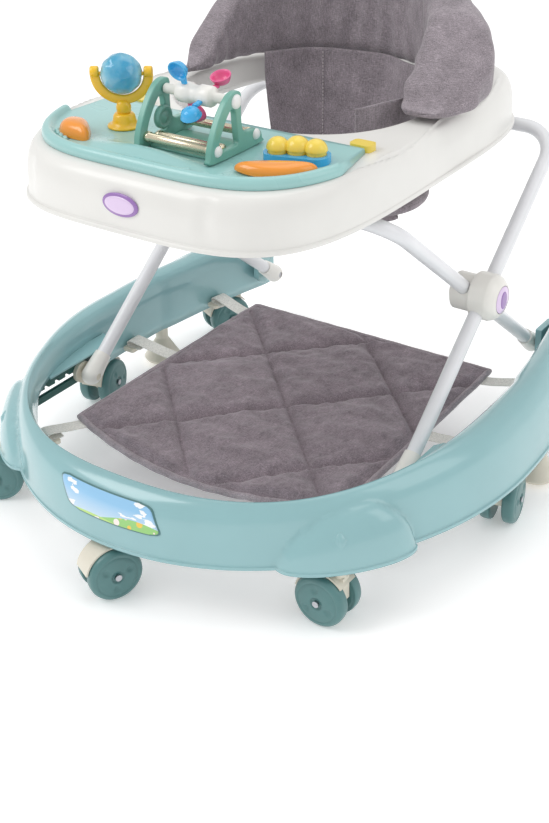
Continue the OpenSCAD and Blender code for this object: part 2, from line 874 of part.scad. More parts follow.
button_travel = 3;
module orange_button(b) {
    color(ORANGE)
        translate([0, 0, tray_top_z + 1 + button_travel + touch])
            at_button(b) {
                rounded_bar(b[3], button_w, 7, button_corner);
                translate([0, 0, 6.9])
                    rounded_bar(b[3] - 11, button_w - 9, 3.1, 6);
            }
}
DOMES = [[0, 0, 11], [18, 4, 12], [36, 4, 11]];
module blue_base() {
    color(BLUE)
        translate([103, -138, panel_top_z])
            rotate([0, 0, 14])
                difference() {
                    translate([18, 2, 0])
                        rounded_bar(64, 30, 7, 13);
                    for (d = DOMES)
                        translate([d[0], d[1], 1])
                            cylinder(r = d[2] - 1, h = 10);
                }
}
module yellow_buttons() {
    color(YELLOW)
        translate([103, -138, panel_top_z + 4.4])
            rotate([0, 0, 14]) {
                for (d = DOMES)
                    translate([d[0], d[1], 0]) {
                        cylinder(r = d[2] - 1.3, h = 6.5);
                        translate([0, 0, 6.2])
                            intersection() {
                                sphere(r = d[2]);
                                cylinder(r = d[2] + 1, h = d[2] + 1);
                            }
                    }
            }
}

// ---------------------------------------------------------------- seat

bag_top_r = 130;
bag_low_r = 96;
bag_t = 5;
module seat_bag() {
    color(GREY)
        translate([0, seat_y, 0])
            difference() {
                rotate_extrude($fn = 64)
                    polygon([
                        [0, seat_floor_z], [bag_low_r, seat_floor_z], [bag_top_r, tray_top_z],
                        [bag_top_r + 17, tray_top_z + 0.1], [bag_top_r + 17, tray_top_z + 3],
                        [bag_top_r - bag_t, tray_top_z + 3], [bag_low_r - bag_t, seat_floor_z + bag_t],
                        [0, seat_floor_z + bag_t]
                    ]);
                // leg holes either side of the crotch strap
                for (side = [-1, 1])
                    translate([side * 54, -22, seat_floor_z - 20])
                        cylinder(r = 34, h = 50);
            }
}
back_in_r = 122;
back_out_r = back_in_r + back_t;
wing_turn = 12;      // how far each wing goes past the widest line
module seat_back() {
    base_z = tray_top_z + 3.1;
    color(GREY)
        translate([0, seat_y, 0])
            difference() {
                rotate([0, 0, -wing_turn])
                    rotate_extrude(angle = 180 + 2 * wing_turn, $fn = 64)
                        polygon([
                            [back_in_r + 6, base_z], [back_out_r - 6, base_z], [back_out_r, base_z + 8],
                            [back_out_r, back_top_z - 14], [back_out_r - 10, back_top_z - 2],
                            [back_in_r + 12, back_top_z], [back_in_r + 2, back_top_z - 10],
                            [back_in_r, back_top_z - 24], [back_in_r, base_z + 8]
                        ]);
                // the side wings slope down towards the front
                translate([-200, -60, base_z + 62])
                    rotate([38, 0, 0])
                        cube([400, 300, 200]);
            }
}

base_ring();
front_label();
slide_rail_left();
slide_rail_right();
rear_brackets();
rear_pivot_pins();
foot_mat();
mat_straps();
strap_clips();
brake_post_left();
brake_post_right();
caster_fork(CASTER_FRONT);  // caster_front_fork
caster_wheels(CASTER_FRONT);  // caster_front_wheels
caster_axle(CASTER_FRONT);  // caster_front_axle
caster_fork(CASTER_CORNER_LEFT);  // caster_corner_left_fork
caster_wheels(CASTER_CORNER_LEFT);  // caster_corner_left_wheels
caster_axle(CASTER_CORNER_LEFT);  // caster_corner_left_axle
caster_fork(CASTER_CORNER_RIGHT);  // caster_corner_right_fork
caster_wheels(CASTER_CORNER_RIGHT);  // caster_corner_right_wheels
caster_axle(CASTER_CORNER_RIGHT);  // caster_corner_right_axle
caster_fork(CASTER_SIDE_LEFT);  // caster_side_left_fork
caster_wheels(CASTER_SIDE_LEFT);  // caster_side_left_wheels
caster_axle(CASTER_SIDE_LEFT);  // caster_side_left_axle
caster_fork(CASTER_SIDE_RIGHT);  // caster_side_right_fork
caster_wheels(CASTER_SIDE_RIGHT);  // caster_side_right_wheels
caster_axle(CASTER_SIDE_RIGHT);  // caster_side_right_axle
caster_fork(CASTER_REAR_LEFT);  // caster_rear_left_fork
caster_wheels(CASTER_REAR_LEFT);  // caster_rear_left_wheels
caster_axle(CASTER_REAR_LEFT);  // caster_rear_left_axle
caster_fork(CASTER_REAR_RIGHT);  // caster_rear_right_fork
caster_wheels(CASTER_REAR_RIGHT);  // caster_rear_right_wheels
caster_axle(CASTER_REAR_RIGHT);  // caster_rear_right_axle
rear_leg_tube();
rear_tube_ends();
front_leg_tube();
front_tube_ends();
hub_inner_covers();
hub_outer_covers();
hub_caps();
hub_pins();
slider_left();
slider_right();
tray();
tray_brackets();
tray_badge();
toy_panel();
panel_latches();
ball_pedestal();
ball_fork();
rattle_ball();
car_frame();
car_rods();
spinner_drum();
spinner_spoons();
orange_button(LEFT_BUTTON);  // orange_button_left
orange_button(RIGHT_BUTTON);  // orange_button_right
blue_base();
yellow_buttons();
seat_bag();
seat_back();
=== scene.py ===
"""Baby walker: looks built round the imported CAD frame. Metres; front -Y, +Z up."""
import math
import random

import bmesh
import bpy
from mathutils import Matrix, Vector, noise


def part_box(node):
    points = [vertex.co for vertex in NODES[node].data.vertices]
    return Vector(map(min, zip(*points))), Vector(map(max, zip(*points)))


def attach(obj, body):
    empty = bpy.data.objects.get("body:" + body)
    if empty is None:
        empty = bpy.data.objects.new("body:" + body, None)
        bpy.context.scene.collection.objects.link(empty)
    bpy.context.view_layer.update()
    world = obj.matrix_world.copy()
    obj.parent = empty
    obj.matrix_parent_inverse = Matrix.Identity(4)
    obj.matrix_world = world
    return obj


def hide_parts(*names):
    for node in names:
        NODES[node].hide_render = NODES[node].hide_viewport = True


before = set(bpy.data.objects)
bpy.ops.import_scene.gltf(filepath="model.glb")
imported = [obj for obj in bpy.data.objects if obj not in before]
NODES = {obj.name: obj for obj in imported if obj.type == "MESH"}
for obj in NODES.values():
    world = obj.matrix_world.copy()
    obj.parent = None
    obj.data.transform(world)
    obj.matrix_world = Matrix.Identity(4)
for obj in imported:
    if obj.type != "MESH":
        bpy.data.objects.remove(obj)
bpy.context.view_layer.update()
MM = 0.001


# ---------------------------------------------------------------- mesh helpers

def mm(x, y, z=0.0):
    return Vector((x * MM, y * MM, z * MM))


def lerp(a, b, k):
    return a + (b - a) * k


def smooth_step(x):
    x = min(1.0, max(0.0, x))
    return x * x * (3 - 2 * x)


def spow(v, e):
    return math.copysign(abs(v) ** e, v)


def bump(x, centre, width):
    """Smooth hill of height 1 at centre that ends at centre +- width."""
    k = abs(x - centre) / width
    return 0.5 * (1 + math.cos(math.pi * k)) if k < 1 else 0.0


def linked(name, data):
    """New object with this data, in the scene."""
    obj = bpy.data.objects.new(name, data)
    bpy.context.scene.collection.objects.link(obj)
    return obj


def new_mesh(name, verts, faces):
    mesh = bpy.data.meshes.new(name)
    mesh.from_pydata([tuple(v) for v in verts], [], faces)
    mesh.validate()
    bm = bmesh.new()
    bm.from_mesh(mesh)
    bmesh.ops.recalc_face_normals(bm, faces=bm.faces)
    for face in bm.faces:
        face.smooth = True
    bm.to_mesh(mesh)
    bm.free()
    return linked(name, mesh)


def grid(name, rows, wrap_u=False, wrap_v=False, cap_rows=False):
    """Skin over equal rows of points: wrap_u joins last row to first, wrap_v each row's ends, cap_rows fills
    the first and last row."""
    n, m = len(rows), len(rows[0])
    verts = [p for row in rows for p in row]
    faces = []
    for i in range(n if wrap_u else n - 1):
        for j in range(m if wrap_v else m - 1):
            k, l = (i + 1) % n, (j + 1) % m
            faces.append((i * m + j, i * m + l, k * m + l, k * m + j))
    if cap_rows:
        faces.append(tuple(range(m - 1, -1, -1)))
        faces.append(tuple((n - 1) * m + j for j in range(m)))
    return new_mesh(name, verts, faces)


def catmull(points, per_span, closed=False):
    """Smooth curve through points, per_span samples for each span."""
    pts = [Vector(p) for p in points]
    n = len(pts)
    spans = n if closed else n - 1
    out = []
    for i in range(spans):
        if closed:
            p0, p1, p2, p3 = (pts[(i + k - 1) % n] for k in range(4))
        else:
            p1, p2 = pts[i], pts[i + 1]
            p0 = pts[i - 1] if i else p1 * 2 - p2
            p3 = pts[i + 2] if i + 2 < n else p2 * 2 - p1
        for s in range(per_span):
            t = s / per_span
            out.append(0.5 * (2 * p1 + (p2 - p0) * t + (2 * p0 - 5 * p1 + 4 * p2 - p3) * t ** 2
                              + (3 * p1 - p0 - 3 * p2 + p3) * t ** 3))
    if not closed:
        out.append(pts[-1].copy())
    return out


def lathe(name, profile, steps=48):
    """Solid of revolution about local Z; profile is (radius, z) from axis to axis, in mm."""
    rows = []
    for i in range(steps):
        a = 2 * math.pi * i / steps
        rows.append([mm(r * math.cos(a), r * math.sin(a), z) for r, z in profile])
    obj = grid(name, rows, wrap_u=True)
    weld(obj, 1e-6)
    return obj


def weld(obj, distance=1e-5):
    bm = bmesh.new()
    bm.from_mesh(obj.data)
    bmesh.ops.remove_doubles(bm, verts=bm.verts, dist=distance)
    bmesh.ops.recalc_face_normals(bm, faces=bm.faces)
    bm.to_mesh(obj.data)
    bm.free()


def tube_along(name, path, section, closed=False, up=Vector((0, 0, 1))):
    """Sweeps a closed section of (side, up) offsets in metres along a path of points."""
    rows = []
    n = len(path)
    for i, p in enumerate(path):
        a = path[(i - 1) % n] if closed or i else p
        b = path[(i + 1) % n] if closed or i < n - 1 else p
        along = (b - a).normalized()
        side = along.cross(up).normalized()
        top = side.cross(along).normalized()
        rows.append([p + side * s + top * u for s, u in section])
    return grid(name, rows, wrap_u=closed, wrap_v=True, cap_rows=not closed)


def slab_section(width, thick, corner_steps=3):
    """Rounded rectangle section, width across and thick upwards, in metres."""
    r = min(width, thick) * 0.42
    out = []
    for cx, cy, start in ((1, 1, 0), (-1, 1, 90), (-1, -1, 180), (1, -1, 270)):
        for k in range(corner_steps + 1):
            a = math.radians(start + 90 * k / corner_steps)
            out.append((cx * (width / 2 - r) + r * math.cos(a), cy * (thick / 2 - r) + r * math.sin(a)))
    return out


def plate(name, outline, thick, bevel=0.8):
    """Flat plate in local XY from z 0 to thick, with rounded edges. Outline in mm."""
    bm = bmesh.new()
    low = [bm.verts.new(mm(x, y)) for x, y in outline]
    face = bm.faces.new(low)
    top = bmesh.ops.extrude_face_region(bm, geom=[face])
    for v in top["geom"]:
        if isinstance(v, bmesh.types.BMVert):
            v.co.z += thick * MM
    bmesh.ops.recalc_face_normals(bm, faces=bm.faces)
    mesh = bpy.data.meshes.new(name)
    bm.to_mesh(mesh)
    bm.free()
    obj = linked(name, mesh)
    soften(obj, bevel)
    return obj


def soften(obj, width, segments=3, angle=30):
    """Rounds a hard-edged mesh with modifiers, so that its edges catch the light."""
    join = obj.modifiers.new("join", "WELD")
    join.merge_threshold = 2e-5
    edge = obj.modifiers.new("round_edges", "BEVEL")
    edge.width = width * MM
    edge.segments = segments
    edge.limit_method = "ANGLE"
    edge.angle_limit = math.radians(angle)
    edge.harden_normals = False
    edge.use_clamp_overlap = True
    shade_smooth(obj)


def shade_smooth(obj):
    for poly in obj.data.polygons:
        poly.use_smooth = True
    normals = obj.modifiers.new("face_normals", "WEIGHTED_NORMAL")
    normals.keep_sharp = True
    normals.weight = 80


def thicken(obj, thickness):
    solid = obj.modifiers.new("thickness", "SOLIDIFY")
    solid.thickness = thickness * MM
    solid.offset = 0


def place(obj, location=(0, 0, 0), rotation=(0, 0, 0)):
    """Moves the mesh itself, so that the object stays at the origin as the CAD nodes do."""
    turn = Matrix.LocRotScale(Vector(location) * MM, Matrix.Identity(3), None)
    for axis, angle in zip("XYZ", rotation):
        turn = turn @ Matrix.Rotation(math.radians(angle), 4, axis)
    obj.data.transform(turn)
    return obj


def add(obj, body, material, replaces=()):
    """Gives a piece its material and the CAD body it rides on."""
    if material is not None:
        obj.data.materials.clear()
        obj.data.materials.append(material)
    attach(obj, body)
    if replaces:
        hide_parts(*replaces)
    return obj


def fnoise(x, y, z, scale):
    return noise.noise(Vector((x, y, z)) * scale)


def rotate(obj, degrees, axis):
    obj.data.transform(Matrix.Rotation(math.radians(degrees), 4, axis))


def flip_x(obj):
    obj.data.transform(Matrix.Scale(-1, 4, Vector((1, 0, 0))))
    obj.data.flip_normals()


def mirrored(obj, name):
    """A copy of obj on the other side of the walker."""
    twin = obj.copy()
    twin.data = obj.data.copy()
    twin.name = name
    flip_x(twin)
    bpy.context.scene.collection.objects.link(twin)
    return twin


SIDES = ((-1, "left"), (1, "right"))


# ---------------------------------------------------------------- materials

def srgb(r, g, b):
    def lin(c):
        c /= 255
        return c / 12.92 if c <= 0.04045 else ((c + 0.055) / 1.055) ** 2.4
    return (lin(r), lin(g), lin(b), 1.0)


def scaled(colour, k):
    return tuple(min(1.0, c * k) for c in colour[:3]) + (1.0,)


class Nodes:
    """Short way to build one material's node tree."""

    def __init__(self, name):
        self.mat = bpy.data.materials.new(name)
        self.mat.use_nodes = True
        self.tree = self.mat.node_tree
        self.shader = self.tree.nodes["Principled BSDF"]
        self.coord = self.node("ShaderNodeTexCoord").outputs["Object"]

    def node(self, kind, **settings):
        made = self.tree.nodes.new(kind)
        for key, value in settings.items():
            setattr(made, key, value)
        return made

    def link(self, a, b):
        self.tree.links.new(a, b)

    def noise(self, scale, detail=2.0, rough=0.5, stretch=None):
        made = self.node("ShaderNodeTexNoise")
        made.inputs["Scale"].default_value = scale
        made.inputs["Detail"].default_value = detail
        made.inputs["Roughness"].default_value = rough
        source = self.coord
        if stretch:
            mapping = self.node("ShaderNodeMapping")
            mapping.inputs["Scale"].default_value = stretch
            self.link(source, mapping.inputs["Vector"])
            source = mapping.outputs["Vector"]
        self.link(source, made.inputs["Vector"])
        return made.outputs["Fac"]

    def ramp(self, factor, stops):
        made = self.node("ShaderNodeValToRGB")
        ramp = made.color_ramp
        while len(ramp.elements) < len(stops):
            ramp.elements.new(0.5)
        for element, (at, colour) in zip(ramp.elements, stops):
            element.position = at
            element.color = colour
        self.link(factor, made.inputs["Fac"])
        return made.outputs["Color"]

    def math(self, kind, a, b=None, c=None):
        made = self.node("ShaderNodeMath", operation=kind)
        for socket, value in zip(made.inputs, (a, b, c)):
            if value is None:
                continue
            if isinstance(value, (int, float)):
                socket.default_value = value
            else:
                self.link(value, socket)
        return made.outputs[0]

    def span(self, factor, low, high):
        made = self.node("ShaderNodeMapRange")
        made.inputs["To Min"].default_value = low
        made.inputs["To Max"].default_value = high
        self.link(factor, made.inputs["Value"])
        return made.outputs["Result"]

    def bump(self, height, strength, distance):
        made = self.node("ShaderNodeBump")
        made.inputs["Strength"].default_value = strength
        made.inputs["Distance"].default_value = distance
        self.link(height, made.inputs["Height"])
        self.link(made.outputs["Normal"], self.shader.inputs["Normal"])

    def put(self, **values):
        for key, value in values.items():
            socket = self.shader.inputs[key.replace("_", " ")]
            if isinstance(value, bpy.types.NodeSocket):
                self.link(value, socket)
            else:
                socket.default_value = value


def cloudy(n, scale, detail, colour, dark, light):
    """Base colour that drifts between a darker and a lighter shade of one colour."""
    stops = [(0.3, scaled(colour, dark)), (0.7, scaled(colour, light))]
    n.put(Base_Color=n.ramp(n.noise(scale, detail), stops))


def plastic(name, colour, rough=0.3, coat=0.25, grain=0.02, gloss_noise=0.03):
    """Moulded plastic: faint cloudy colour, uneven gloss and a very fine skin."""
    n = Nodes(name)
    cloud = n.noise(14, 3)
    n.put(Base_Color=n.ramp(cloud, [(0.25, scaled(colour, 0.97)), (0.75, scaled(colour, 1.03))]))
    n.put(Roughness=n.span(n.noise(25, 2), rough - gloss_noise, rough + gloss_noise))
    n.put(Coat_Weight=coat, Coat_Roughness=0.12)
    n.bump(n.noise(900, 2), grain, 0.0004)
    return n.mat


def metal(name, colour, rough=0.3, metallic=1.0):
    n = Nodes(name)
    cloudy(n, 40, 4, colour, 0.85, 1.05)
    n.put(Metallic=metallic)
    n.put(Roughness=n.span(n.noise(180, 3), rough - 0.08, rough + 0.1))
    n.bump(n.noise(1400, 2), 0.05, 0.0002)
    return n.mat


def powder_coat(name, colour):
    """Sprayed tube: white with a fine orange-peel skin."""
    n = Nodes(name)
    cloudy(n, 20, 3, colour, 0.95, 1.03)
    n.put(Roughness=n.span(n.noise(90, 3), 0.24, 0.38))
    n.put(Coat_Weight=0.4, Coat_Roughness=0.1)
    n.bump(n.noise(420, 3), 0.10, 0.0005)
    return n.mat


def linen(name, colour, weave=1150.0, depth=0.5):
    """Heathered woven cloth: crossing threads with light and dark slubs."""
    n = Nodes(name)
    across = n.noise(weave, 1, 0.5, stretch=(0.12, 1.0, 1.0))
    along = n.noise(weave, 1, 0.5, stretch=(1.0, 1.0, 0.12))
    depthwise = n.noise(weave, 1, 0.5, stretch=(1.0, 0.12, 1.0))
    thread = n.math("MULTIPLY", n.math("ADD", n.math("ADD", across, along), depthwise), 0.333)
    blotch = n.noise(45, 5, 0.65)
    tone = n.math("ADD", n.math("MULTIPLY", thread, 0.72), n.math("MULTIPLY", blotch, 0.28))
    n.put(Base_Color=n.ramp(tone, [(0.36, scaled(colour, 0.50)), (0.46, scaled(colour, 0.86)),
                                   (0.54, scaled(colour, 1.12)), (0.66, scaled(colour, 1.75))]))
    n.put(Roughness=0.9, Sheen_Weight=0.25, Sheen_Roughness=0.5)
    n.bump(thread, depth, 0.0008)
    return n.mat


def webbing_cloth(name, colour):
    n = Nodes(name)
    rib = n.noise(1500, 1, 0.5, stretch=(1.0, 0.2, 1.0))
    n.put(Base_Color=n.ramp(rib, [(0.35, scaled(colour, 0.82)), (0.65, scaled(colour, 1.06))]))
    n.put(Roughness=0.85, Sheen_Weight=0.15)
    n.bump(rib, 0.5, 0.0006)
    return n.mat


TEAL = plastic("teal_gloss", srgb(143, 186, 190), rough=0.22, coat=0.7)
TEAL_TOY = plastic("teal_toy", srgb(156, 202, 200), rough=0.28, coat=0.35)
TEAL_CAR = plastic("teal_car", srgb(112, 170, 156), rough=0.32, coat=0.3)
DARK_TEAL = plastic("dark_teal", srgb(38, 88, 82), rough=0.42, coat=0.1)
WHEEL = plastic("wheel_teal", srgb(84, 128, 128), rough=0.38, coat=0.2, grain=0.12)
CREAM = plastic("cream", srgb(226, 220, 204), rough=0.38, coat=0.2)
IVORY = plastic("ivory", srgb(236, 234, 228), rough=0.34, coat=0.3)
TRAY_WHITE = plastic("tray_white", srgb(229, 228, 224), rough=0.36, coat=0.25, grain=0.08)
TUBE_WHITE = powder_coat("tube_white", srgb(232, 233, 236))
STEEL = metal("steel", srgb(190, 190, 195))
GOLD_ROD = metal("pale_gold", srgb(226, 216, 190), rough=0.25)
YELLOW = plastic("yellow_gloss", srgb(246, 196, 40), rough=0.28, coat=0.4)
YELLOW_SOFT = plastic("yellow_button", srgb(240, 212, 84), rough=0.3, coat=0.4)
ORANGE = plastic("orange_gloss", srgb(240, 150, 44), rough=0.24, coat=0.5)
BLUE = plastic("blue_gloss", srgb(60, 172, 228), rough=0.26, coat=0.4)
BLUE_DEEP = plastic("blue_deep", srgb(14, 132, 200), rough=0.26, coat=0.4)
PINK = plastic("pink_gloss", srgb(232, 96, 150), rough=0.28, coat=0.4)
PURPLE = plastic("purple_gloss", srgb(150, 112, 178), rough=0.25, coat=0.5)
LILAC = plastic("lilac_gloss", srgb(222, 200, 232), rough=0.25, coat=0.5)
PAINT_WHITE = plastic("cap_white", srgb(240, 240, 240), rough=0.3, coat=0.3)
FABRIC = linen("grey_linen", srgb(141, 132, 138))
MAT_CLOTH = linen("mat_linen", srgb(134, 122, 129), weave=1300.0, depth=0.4)
BINDING = linen("binding", srgb(152, 142, 148), weave=1600.0, depth=0.3)
WEBBING = webbing_cloth("webbing", srgb(234, 232, 226))
THREAD = webbing_cloth("thread", srgb(200, 192, 195))


def clear_blue():
    n = Nodes("clear_blue")
    n.put(Base_Color=n.ramp(n.noise(50, 4), [(0.3, srgb(78, 186, 226)), (0.7, srgb(160, 224, 242))]))
    n.put(Roughness=0.08, IOR=1.45, Transmission_Weight=0.35, Coat_Weight=0.5)
    n.bump(n.noise(120, 2), 0.1, 0.0008)
    return n.mat


CLEAR_BLUE = clear_blue()


def repaint(node, material, width=0.0, segments=2):
    """New finish for a CAD node that stays in view."""
    obj = NODES[node]
    for slot in obj.material_slots:
        slot.material = material
    if width:
        soften(obj, width, segments)
    return obj


# ---------------------------------------------------------------- base

BASE_HALF_W, BASE_FRONT, BASE_REAR, BASE_MID_Y = 299, 331, 480, 28
INNER_HALF_W, INNER_FRONT, INNER_REAR, FULL_WIDTH = 245, 292, 440, 46
INNER_POWER_FRONT, INNER_POWER_REAR = 2 / 2.6, 2 / 2.4
RIM_Z, TOP_FRONT_Z, TOP_RISE, BAY_TOP_Z = 63, 128, 10, 106
BAY_FRONT_Y, BAY_REAR_Y, BAY_FADE = -196, -40, 24
SHELF = [(219, -138), (219, -36), (226, -26), (243, -20), (243, -60), (238, -100), (228, -136)]


def rim_outer(t):
    s, c = math.sin(t), math.cos(t)
    return Vector((BASE_HALF_W * s, BASE_MID_Y - (BASE_FRONT if c > 0 else BASE_REAR) * c))


def rim_inner(t):
    s, c = math.sin(t), math.cos(t)
    power = INNER_POWER_FRONT if c > 0 else INNER_POWER_REAR
    return Vector((INNER_HALF_W * spow(s, power),
                   BASE_MID_Y - (INNER_FRONT if c > 0 else INNER_REAR) * spow(c, power)))


def lobe(deg, share, centre, before, after, tall):
    """Half-ellipsoid bump round an angle, the same on both sides of the walker."""
    d = abs(deg) - centre
    k = (d / (before if d < 0 else after)) ** 2 + (share / tall) ** 2
    return math.sqrt(1 - k) if k < 1 else 0.0


def ring_bump(deg, share):
    return 22 * lobe(deg, share, 50.5, 16.5, 8.5, 0.84) + 12 * lobe(deg, share, 113, 14, 14, 1.2)


def ring_top(deg):
    """Height of the ring's top: low at the front, rising between 25 and 85 degrees."""
    return TOP_FRONT_Z + TOP_RISE * (1 - math.cos(math.radians(min(180, max(0, (abs(deg) - 25) * 3))))) / 2


OUTER_SKIN = [(0, 0), (0, .05), (2.5, .08), (4, .3), (7, .55), (12, .75), (19, .88), (27, .96), (35, 1.0)]
INNER_SKIN = [(10, .975), (4, .90), (1, .78), (0, .60), (3, 0)]
UNDER_INNER = [(6, 0), (3.2, .6), (4.5, .76), (7.5, .86), (13, .92)]
UNDER_OUTER = [(34, .955), (27.5, .915), (20, .835), (14.5, .71), (10, .53), (7.2, .3), (5.8, 0)]


def finer(points, count, closed=False):
    return [(p.x, p.y) for p in catmull([(a, b, 0) for a, b in points], count, closed)]


def ring_row(deg, size):
    """One closed section of the ring, over the top and back underneath; size below 1 shrinks and fills it."""
    t = math.radians(deg)
    o, i = rim_outer(t), rim_inner(t)
    n = (o - i).normalized()
    mid = (o + i) / 2
    high = ring_top(deg)
    narrow = min(1, (o - i).length / FULL_WIDTH)
    pull = 7 * lobe(deg, 0, 112, 16, 16, 1)
    fade = smooth_step((i.y - BAY_FRONT_Y) / BAY_FADE) * smooth_step((BAY_REAR_Y - i.y) / BAY_FADE)
    fade = fade if size == 1 else 0

    def outer(inset, share):
        return o + n * (ring_bump(deg, share) - inset * narrow), RIM_Z + (high - RIM_Z) * share

    def inner(inset, share):
        z = RIM_Z + (high - RIM_Z) * share
        return i + n * (inset * narrow - pull), max(z, RIM_Z + (BAY_TOP_Z - RIM_Z) * fade)

    row = [outer(*p) for p in OUTER_LINE]
    row += [inner(*p) for p in INNER_LINE]
    row += [inner(*p) for p in UNDER_INNER]
    row += [outer(*p) for p in UNDER_OUTER]
    if size < 1:
        last = len(OUTER_LINE) + len(INNER_LINE) - 1
        a, b = row[last], row[0]
        total = len(row) - last
        for k in range(last + 1, len(row)):
            share = (k - last) / total
            row[k] = (a[0].lerp(b[0], share), lerp(a[1], b[1], share))
    out = []
    for flat, z in row:
        xy = mid + (flat - mid) * size
        out.append(mm(xy.x, xy.y, RIM_Z + (z - RIM_Z) * size))
    return out


OUTER_LINE = finer(OUTER_SKIN, 4)
INNER_LINE = finer(INNER_SKIN, 4)

# Each caster's stem (x, y) and the way its wheels trail, in degrees.
CASTERS = {
    "front": (0, -278, 243), "corner_right": (215, -211, 180), "corner_left": (-214.5, -211.5, 212),
    "side_right": (272, 16, 100), "side_left": (-272, 14, 283),
    "rear_right": (245, 245, 60), "rear_left": (-245, 245, 243),
}
STOPPER_X, STOPPER_Y, STEM_SOCKET_R, STOPPER_SOCKET_R = 270, 118, 8, 11


def build_base():
    side = [(k * 0.8, 1.0) for k in range(1, 148)]
    for k in range(1, 11):
        a = k / 10 * math.pi / 2
        side.append((118 + 5.1 * math.sin(a), 0.62 + 0.38 * math.cos(a)))
    stations = [(-d, s) for d, s in reversed(side)] + [(0, 1.0)] + side
    base = grid("base_shell", [ring_row(d, s) for d, s in stations], wrap_v=True, cap_rows=True)
    add(base, "base", TEAL, replaces=["base_ring"])
    shelf = plate("rail_shelf_right", SHELF, 3, 1.0)
    place(shelf, (0, 0, BAY_TOP_Z))
    add(shelf, "base", TEAL)
    add(mirrored(shelf, "rail_shelf_left"), "base", TEAL)


def build_sockets():
    """Sockets under the ring that hold the caster stems and the stoppers."""
    tops = {"front": 122, "corner_right": 104, "corner_left": 104}
    spots = [(x, y, tops.get(tag, 130), STEM_SOCKET_R) for tag, (x, y, _) in CASTERS.items()]
    spots += [(side * STOPPER_X, STOPPER_Y, 130, STOPPER_SOCKET_R) for side in (1, -1)]
    for k, (x, y, top, r) in enumerate(spots):
        low = 65 if r == STEM_SOCKET_R else 58
        socket = lathe(f"stem_socket_{k}", [(r - 3.9, low + 30), (r - 3.9, low), (r - 1, low), (r, low + 1),
                                           (r, 97), (2.5, top), (0, top)], 32)
        place(socket, (x, y, 0))
        add(socket, "base", TEAL)


build_base()
build_sockets()


# ---------------------------------------------------------------- tray

TRAY_HALF_W, TRAY_LOW_Z, TRAY_TOP_Z, TRAY_MID_Y, TRAY_FRONT, TRAY_REAR = 186, 373, 428, 20, 267, 280
OPENING_HALF_W, OPENING_HALF_L, OPENING_POWER, SEAT_Y = 142, 137, 2 / 2.4, 78


def tray_edge(t):
    s, c = math.sin(t), math.cos(t)
    reach = TRAY_FRONT if c > 0 else TRAY_REAR
    return Vector((TRAY_HALF_W * spow(s, 0.5), TRAY_MID_Y - reach * spow(c, 0.5)))


def opening_edge(t):
    s, c = spow(math.sin(t), OPENING_POWER), spow(math.cos(t), OPENING_POWER)
    return Vector((OPENING_HALF_W * s, SEAT_Y - OPENING_HALF_L * c))


def even_turns(edge, count):
    """Angles that space the stations evenly along an edge curve, starting at its front."""
    fine = 3600
    length, marks = 0.0, [0.0]
    last = edge(0)
    for k in range(1, fine + 1):
        point = edge(2 * math.pi * k / fine)
        length += (point - last).length
        marks.append(length)
        last = point
    out, k = [], 0
    for i in range(count):
        want = length * i / count
        while marks[k + 1] < want:
            k += 1
        out.append(2 * math.pi * (k + (want - marks[k]) / (marks[k + 1] - marks[k])) / fine)
    return out


TRAY_OUT = finer([(1.5, 0), (0, .015), (0, .05), (1.2, .085), (3.2, .12), (3.5, .35), (4.2, .6), (8, .83),
                  (14, .955), (22, 1)], 4)
TRAY_IN = finer([(12, 1.0), (6, .995), (2, .955), (0, .87), (0, .62), (1, .44)], 3)
TRAY_UNDER = [("in", 3, .44), ("in", 3.2, .86), ("in", 9, .93), ("out", 22, .93), ("out", 15.5, .9),
              ("out", 10, .79), ("out", 6.8, .58), ("out", 6, .1), ("out", 4, 0)]


WAVE_FRONT_Y, WAVE_REAR_Y = -150, 230


def wave_emboss(x, y, inset):
    """Raised wavy line and short leaf veins moulded along both sides of the tray."""
    if not WAVE_FRONT_Y < y < WAVE_REAR_Y or abs(x) < 100:
        return 0.0
    fade = smooth_step((y - WAVE_FRONT_Y) / 30) * smooth_step((WAVE_REAR_Y - y) / 30)
    along = y / 27
    middle = 17 + 6 * math.sin(along)
    line = math.exp(-((inset - middle) / 1.5) ** 2)
    phase = (along / (2 * math.pi)) % 1
    vein_at = 27 + 18 * (abs(phase - 0.62)) * 2
    vein = math.exp(-((inset - vein_at) / 3.2) ** 2) * math.exp(-((phase - 0.62) / 0.06) ** 2)
    return fade * (2.4 * line + 2.0 * vein)


def corner_crease(x, y):
    """Soft scallops pressed into the front wall near both corners."""
    return bump(x, -128, 13) + bump(x, 92, 13) if y < WAVE_FRONT_Y else 0.0


def build_tray():
    rows = []
    deep = TRAY_TOP_Z - TRAY_LOW_Z
    for t in even_turns(tray_edge, 440):
        o, i = tray_edge(t), opening_edge(t)
        n = (o - i).normalized()
        row = []
        for inset, share in TRAY_OUT:
            p = o - n * inset
            crease = corner_crease(p.x, p.y) * math.sin(math.pi * min(1, max(0, (share - 0.1) / 0.9)))
            p = p - n * (2.6 * crease)
            rise = wave_emboss(p.x, p.y, inset) if share > 0.8 else 0
            row.append(mm(p.x, p.y, TRAY_LOW_Z + deep * share + rise))
        flat_from, flat_to = o - n * 22, i + n * 12
        for k in range(1, 31):
            p = flat_from.lerp(flat_to, k / 31)
            rise = wave_emboss(p.x, p.y, (o - p).length)
            row.append(mm(p.x, p.y, TRAY_TOP_Z + rise))
        for inset, share in TRAY_IN:
            p = i + n * inset
            row.append(mm(p.x, p.y, TRAY_LOW_Z + deep * share))
        for edge, inset, share in TRAY_UNDER:
            p = i + n * inset if edge == "in" else o - n * inset
            row.append(mm(p.x, p.y, TRAY_LOW_Z + deep * share))
        rows.append(row)
    tray = grid("tray_shell", rows, wrap_u=True, wrap_v=True)
    add(tray, "tray", TRAY_WHITE, replaces=["tray"])


